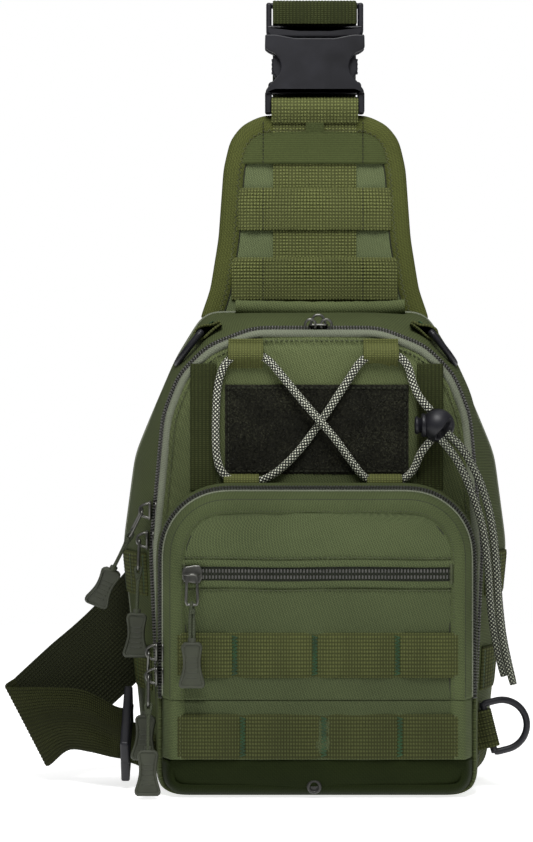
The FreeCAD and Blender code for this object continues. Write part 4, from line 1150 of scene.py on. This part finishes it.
for name, (half, low, high, rib, cloth) in padRows.items():
    z = np.linspace(low, high, 60)[None]
    x = np.linspace(-1, 1, int(half * 2 / 0.4))[:, None] * np.minimum(half, np.interp(z, padLevels, padInner))
    held = sum(np.exp(-((x - t) / 4.0) ** 2) for t in (-31, 29, -half, half))
    y = 40.9 + 1.3 * np.clip((np.abs(x) - 27) / 18, 0, 1) ** 1.5 - 0.8 * (1 - np.clip(held, 0, 1))
    y = y - rib * (1 + np.cos(2 * np.pi * x / 2.0)) * (0.6 + 0.4 * np.cos(2 * np.pi * z / 2.1))
    y = y + 0.6 * np.clip(1 - np.minimum(z - low, high - z) / 0.7, 0, 1)
    makePiece(name, [gridShape(sheet(x, y, z))], "pad", [cloth],
              hides=["pad_webbing_rows"] if low == 287 else (), thick=1.1)
    sewn = [stitches([(t, depth, low + 0.8), (t, depth, high - 0.8)], 2.4, 1.8, 0.6)
            for t, depth in ((-31, 40.5), (29, 40.35))]
    makePiece(name + "Stitches", sewn, "pad", [darkThread])
print("pad and handle ready")

# buckle
# moulded plates and bars joined into one piece; each is an outline, its two depths and its edge radius
def plates(name, items, body, node):
    shapes = [s for loop, y0, y1, bevel in items for s in slab(loop, y0, y1, bevel)]
    makePiece(name, shapes, body, [blackPlastic], hides=[node])


# the right half of a plate mirrored, its corners a little softened, as a loop
def evenOutline(corners, soft, step=0.4):
    return outline(corners, soft, step)[0]


facePlate = [(13.5, 412.6), (24.5, 412.6), (27.2, 410.6), (29.6, 410.4), (29.4, 412.6), (26.6, 416.6),
             (24, 419.4), (21.4, 422.2), (20.4, 426.6), (21.2, 431), (24, 434.6), (27.6, 436.2), (30, 438),
             (29.8, 446), (23, 446), (12, 443.9)]
faceLoop = evenOutline(facePlate, 0.7)
plates("buckleFemale", [
    (roundRect(-29, 29, 399, 403, 2.0), 39, 47, 1.6), (roundRect(-28, 28, 411.3, 418, 2.4), 38, 48, 1.4),
    (faceLoop, 35.8, 39.2, 0.7), (faceLoop, 46.8, 50, 0.7),
    (roundRect(-13.6, 13.6, 414, 441, 3), 38, 48, 1.0),
    (roundRect(-29.2, 29.2, 438.6, 443.4, 2.0), 37, 49, 1.5),
    *[(roundRect(x, x + 4.1, 399, 412, 1.4), 37.4, 48.6, 1.2) for x in (-29.9, 25.8)]],
       "pad", "buckle_female")
plates("buckleMale", [
    (evenOutline([(27, 444.4), (29.2, 447.4), (29.2, 451.6), (22, 451.8), (10, 449.6)], 0.8), 37.0, 48, 1.5),
    (roundRect(-28.6, 28.6, 462.6, 465.6, 1.4), 40, 46.4, 1.3),
    (roundRect(-29.2, -25.9, 448, 465.4, 1.5), 37.4, 47.5, 1.2),
    (roundRect(25.9, 29.2, 448, 465.4, 1.5), 37.4, 47.5, 1.2),
    (roundRect(-9, 9, 419, 447, 1.5), 41, 45, 0.8)], "buckle", "buckle_male")
for side, name in ((-1, "Left"), (1, "Right")):
    tip = np.array([(14.2, 419), (21, 419.0), (24.0, 420.8), (25.8, 424.6), (25.8, 430), (24.2, 434),
                    (21.5, 436.2), (19, 436.6), (19, 446), (14.2, 446)])
    if side < 0:
        tip = tip[::-1] * (-1, 1)
    shares = np.linspace(0, 1, 5, endpoint=False)
    fine = [p + (q - p) * t for p, q in zip(tip, np.roll(tip, -1, 0)) for t in shares]
    plates("buckleProng" + name, [(np.array(fine), 39.5, 46.5, 1.1)] +
           [(roundRect(side * 24.9 - 1.1, side * 24.9 + 1.1, z, z + 1.0, 0.4), 40.2, 45.8, 0.3)
            for z in (423, 425.6, 428.2, 430.8)],
           "prong_" + name.lower(), "buckle_prong_" + name.lower())


# sling straps
# webbing between two edge lines, with ribs along its length
def ribbonShape(pairs, nAlong, nAcross, rib, pitch, mat=0):
    left, right = (smoothPath([p[k] for p in pairs], nAlong) for k in (0, 1))
    t = np.linspace(0, 1, nAcross)[None, :, None]
    points = left[:, None] * (1 - t) + right[:, None] * t
    normal = unit(np.cross(np.gradient(points, axis=0), np.gradient(points, axis=1)))
    width = np.linalg.norm(right - left, axis=1).mean()
    return gridShape(points + normal * rib * np.cos(2 * np.pi * t * width / pitch), mat=mat)


# the two edges of webbing that lies level
def level(y, z, half=25):
    return ((-half, y, z), (half, y, z))


topPairs = [level(y, z) for y, z in ((36.8, 452.5), (36.4, 458), (37.4, 464.3), (42, 466.2), (47.6, 464.6),
                                     (50.6, 458), (52.5, 450), (56.6, 436), (57.8, 428))]
topLoop = makePiece("slingTopLoop", [ribbonShape(topPairs, 70, 150, 0.16, 1.9)], None,
                    [darkWebbingMaterial, slingUpper], hides=["sling_top_loop"], thick=1.6)
loopTurn = 47.8 * mm  # the loop's faces deeper than this show its other side
centres = np.zeros(len(topLoop.data.polygons) * 3, np.float32)
topLoop.data.polygons.foreach_get("center", centres)
topLoop.data.polygons.foreach_set("material_index", (centres[1::3] > loopTurn).astype(np.int32))
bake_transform(topLoop)
upperPairs = [level(y, z) for y, z in ((57.8, 428), (59.5, 415), (59, 380), (57.5, 340), (60, 300),
                                       (63, 254))]
upperPairs += [((-31, 68, 226), (19, 68, 216)), ((-52, 70, 194), (-7, 70, 170)),
               ((-84, 68, 158), (-45, 68, 125)), ((-131, 56, 104), (-93, 56, 71)),
               ((-160, 38, 78), (-128, 38, 38)), ((-179, 23.5, 60.5), (-155, 23, 15))]
foldPairs = [((-179, 23.5, 60.5), (-155, 23, 15)), ((-183.4, 20.2, 57.6), (-159.2, 19.6, 9.6)),
             ((-181, 17.0, 56), (-157, 16.6, 10.6)), ((-160, 14, 56), (-146, 8, 20)),
             ((-138, 16, 54), (-132, -8, 21)), ((-120, 20.5, 44.5), (-120, -17, 19.5)),
             ((-113.5, 22.5, 42.5), (-113.5, -18, 18.5))]
strap = makePiece("slingStrap", [ribbonShape(upperPairs, 290, 110, 0.2, 2.0),
                                 ribbonShape(foldPairs, 110, 110, 0.2, 2.0, mat=1)],
                  None, [slingUpper, slingFront],
                  hides=["sling_upper_run", "sling_lower_run", "sling_front_run"], thick=1.5)
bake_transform(strap)
lockSpot = np.array((-111, 2, 30.5))
lockAxes = np.array([(0, 0.866, 0.5), (1, 0, 0), (0, -0.5, 0.866)]).T
bars = [(roundRect(-29, 29, -14, -10.4, 1.7), -2.5, 2.5, 1.2),
        (roundRect(-29, 29, -1.7, 1.7, 1.5), -2.2, 2.8, 1.2),
        (roundRect(-29, 29, 10.4, 14, 1.7), -2.5, 2.5, 1.2),
        (roundRect(-29, -25.4, -14, 14, 1.7), -2.5, 2.5, 1.2),
        (roundRect(25.4, 29, -14, 14, 1.7), -2.5, 2.5, 1.2)]
shapes = turned([s for loop, y0, y1, bevel in bars for s in slab(loop, y0, y1, bevel)], lockAxes, lockSpot)
makePiece("ladderLock", shapes, "bag", [blackPlastic], hides=["ladder_lock"])
tabPairs = [((-91, 18, 28), (-91, -14, 10)), ((-99, 19, 32), (-99, -15, 12)),
            ((-105.5, 20, 33.6), (-105.5, -14, 14.6)), ((-109, 20.4, 35), (-109, -13.6, 15.6))]
makePiece("ladderLockTab", [ribbonShape(tabPairs, 40, 60, 0.18, 1.9)], "bag",
          [darkWebbingMaterial],
          hides=["ladder_lock_tab"], thick=1.5)
print("buckle and straps ready")

# zip sliders and pulls
toLeft, alongX = spin((0, 0, 1), -90), spin((0, 1, 0), 90)
sliderReach = 6.6  # from a slider's middle to the bridge its pull hangs from


# two flat wings, turned flanges and a bridge that the pull hangs from
def sliderPiece(name, body, node, place, turn):
    wing = np.array([(2.6, -5.5), (3.6, -4.6), (4.5, 1.5), (4.4, 4.4), (2.4, 5.6), (-2.4, 5.6), (-4.4, 4.4),
                     (-4.5, 1.5), (-3.6, -4.6), (-2.6, -5.5)])
    shapes = slab(wing, -2.7, -1.5, 0.45) + slab(wing, 1.0, 2.0, 0.4)
    for side in (-1, 1):
        edge = smoothPath([(side * 3.5, -2.0, -4.6), (side * 4.4, -2.0, 1.5), (side * 4.2, -2.0, 4.4)], 12)
        shapes += sweep(edge, circle(0.75, 8))
    shapes += sweep(smoothPath([(0, -2, 4.2), (0, -4.6, 3.8), (0, -7.4, 2.2), (0, -8.0, 0), (0, -7.4, -2.2),
                                (0, -4.6, -3.8), (0, -2, -4.2)], 26), circle(0.8, 8), up=(1, 0, 0))
    makePiece(name, turned(shapes, turn, place), body, [gunmetal], hides=[node])


t = np.linspace(0, 1, 26)
halfGrip = 6.2 + 1.8 * (1 - t) ** 1.5 - 2.1 * np.sin(np.pi * t) ** 1.3
halfGrip = halfGrip - 2.2 * np.clip(1 - np.minimum(t, 1 - t) / 0.09, 0, 1) ** 2
gripOutline = np.vstack([np.stack([halfGrip, -26 + 26 * t], 1), np.stack([-halfGrip, -26 + 26 * t], 1)[::-1]])


# a wire bail, a doubled cord and a waisted rubber grip with a raised rim
def pullPiece(name, body, node, pivot, turn, drop, gripTurn, shorter=0.0):
    bail = np.array([(-2.3, 0, 0), (0, 0, 0.1), (2.3, 0, 0), (2.8, 0, -1.2), (3.3, 0, -15.2), (2.7, 0, -16.9),
                     (0, 0, -17), (-2.7, 0, -16.9), (-3.3, 0, -15.2), (-2.8, 0, -1.2)])
    fine = []
    for p, q in zip(bail, np.roll(bail, -1, 0)):
        steps = max(1, int(np.linalg.norm(q - p) / 1.2))
        fine += [p + (q - p) * s for s in np.linspace(0, 1, steps, endpoint=False)]
    pivot = np.array(pivot, float)
    wire = turned(sweep(np.array(fine), circle(0.8, 8), up=(0, 1, 0), closed=True), turn, pivot)
    makePiece(name + "Bail", wire, body, [gunmetal], hides=[node])
    below = pivot + turn @ np.array((0, 0, -28.2))
    strands = []
    for s in (-1, 1):
        line = [pivot + turn @ np.array(q) for q in ((0, s * 0.2, -15.7), (s * 0.2, s * 1.5, -16.6),
                                                     (s * 0.5, s * 1.2, -19.5), (s * 1.0, s * 0.2, -24.5))]
        line += [below + drop @ np.array(q) for q in ((s * 1.0, 0, -3), (s * 1.0, 0, shorter - 9),
                                                      (s * 1.0, 0, shorter - 15.5))]
        strands += sweep(smoothPath(line, 40), circle(0.95, 8), up=drop @ np.array((1, 0, 0.2)))
    knot = np.array([(0, 0, -19.4), (0.3, 0, -20.6), (0, 0, -22)])
    strands += turned(sweep(smoothPath(knot, 8), circle(1.75, 8)), turn, pivot)
    makePiece(name + "Cord", strands, body, [hangCord])
    low = np.array((0, 0, shorter - 14.2))
    shapes = slab(gripOutline, -1.3, 1.3, 0.7)
    rim = sheet(gripOutline[:, 0] * 0.88, 0.0, -13 + (gripOutline[:, 1] + 13) * 0.93)
    for s in (-1, 1):
        shapes += sweep(rim + (0, s * 1.2, 0), circle(0.85, 6), up=(0, 1, 0), closed=True)
    for z in np.arange(-20, -5.5, 2.9):
        shapes += sweep(sheet(np.linspace(-3.4, 3.4, 6), -1.0, z), circle(0.5, 6))
    neckTube = sweep(sheet(0.0, 0.0, np.linspace(-1.5, 2.2, 6)), circle(2.3, 10, 0.75), up=(0, 1, 0))
    shapes = turned(shapes + neckTube, spin((0, 0, 1), gripTurn))
    makePiece(name + "Grip", turned([(s[0] + low,) + tuple(s[1:]) for s in shapes], drop, below), body,
              [gripRubber])


zips = {"main_upper": ((-94.6, -19, 162), 24, 24, 25), "main_lower": ((-96.2, -19, 145), 0, 0, 2),
        "pocket_upper": ((-89.6, -47, 82), 34, -10, 3), "pocket_lower": ((-89.6, -47, 68.5), -14, -14, 0)}
for name, (place, bailLean, dropLean, outward) in zips.items():
    label = name.replace("_u", "U").replace("_l", "L")
    sliderPiece(label + "Slider", name + "_slider", name + "_slider", place, toLeft)
    sideways = spin((0, 1, 0), outward) @ toLeft
    pullPiece(label + "Pull", name + "_pull", name + "_pull", np.array(place) - (sliderReach, 0, 0),
              spin((1, 0, 0), bailLean) @ sideways, spin((1, 0, 0), dropLean) @ sideways, 90)
sliderPiece("smallZipSlider", "small_zip_slider", "small_zip_slider", (-71, -62.9, 127.5), alongX)
pullPiece("smallZipPull", "small_zip_pull", "small_zip_pull", (-71, -69.5, 127.5), np.eye(3), np.eye(3), 0,
          shorter=4.5)
sliderPiece("topSlider", "slider_top", "top_slider", (1, -19, 267.6), alongX @ toLeft)
hooks = []
for side in (-1, 1):
    a = np.linspace(-0.3, np.pi + 0.7, 18)
    hook = np.stack([1 + side * (4.6 + 3.1 * np.cos(a)), -23.2 - 0.4 * np.sin(a), 269.6 + 3.3 * np.sin(a)], 1)
    hooks += sweep(hook, circle(0.75, 8), up=(0, 1, 0))
makePiece("topSliderWings", hooks, "slider_top", [gunmetal])
print("zip pieces ready")

# cord lock
lockBall = {"centre": np.array((69.5, -37.5, 211.5)), "radius": 9.5}


# a profile of (distance along X, radius) pairs turned about the X axis
def lathe(profile, origin, sides=32):
    a = np.linspace(0, 2 * np.pi, sides, endpoint=False)
    p = np.array(profile, float)
    points = np.stack([p[:, :1] + 0 * a, p[:, 1:] * np.cos(a), p[:, 1:] * np.sin(a)], -1) + origin
    return [gridShape(points, closeV=True), fan(points[0]), fan(points[-1], flip=True)]


latitude = np.linspace(0.02, np.pi - 0.02, 60)
ball = np.stack([-np.cos(latitude), np.sin(latitude)], 1) * lockBall["radius"]
shapes = lathe(ball, lockBall["centre"], 72)
out = unit(shapes[0][0] - lockBall["centre"])
gaze = unit(np.array((0.50, -0.80, -0.33)))
tall = unit(np.array((0.55, 0.62, -0.4)))
tall = unit(tall - gaze * tall.dot(gaze))
wide = np.cross(gaze, tall)
lens = ((out @ tall) / 0.30) ** 2 + ((out @ wide) / 0.72) ** 2
dent = np.clip(np.clip(1.25 - lens, 0, 1) * (out @ gaze > 0) * 3, 0, 1)
shapes[0] = (shapes[0][0] - out * (dent * 4.5)[:, None],) + tuple(shapes[0][1:])
shapes += lathe([(-9.6, 6.4), (-9.2, 6.8), (-7.4, 6.8), (-7.0, 6.4)], lockBall["centre"])
makePiece("cordLockBody", shapes, "front", [blackPlastic], hides=["cord_lock_body"])
button = lathe([(-13.4, 4.2), (-13.0, 5.0), (-11.6, 5.2), (-11.3, 4.4), (-5, 4.4)], lockBall["centre"])
makePiece("cordLockButton", button, "button", [blackPlastic], hides=["cord_lock_button"])

print("all pieces ready")
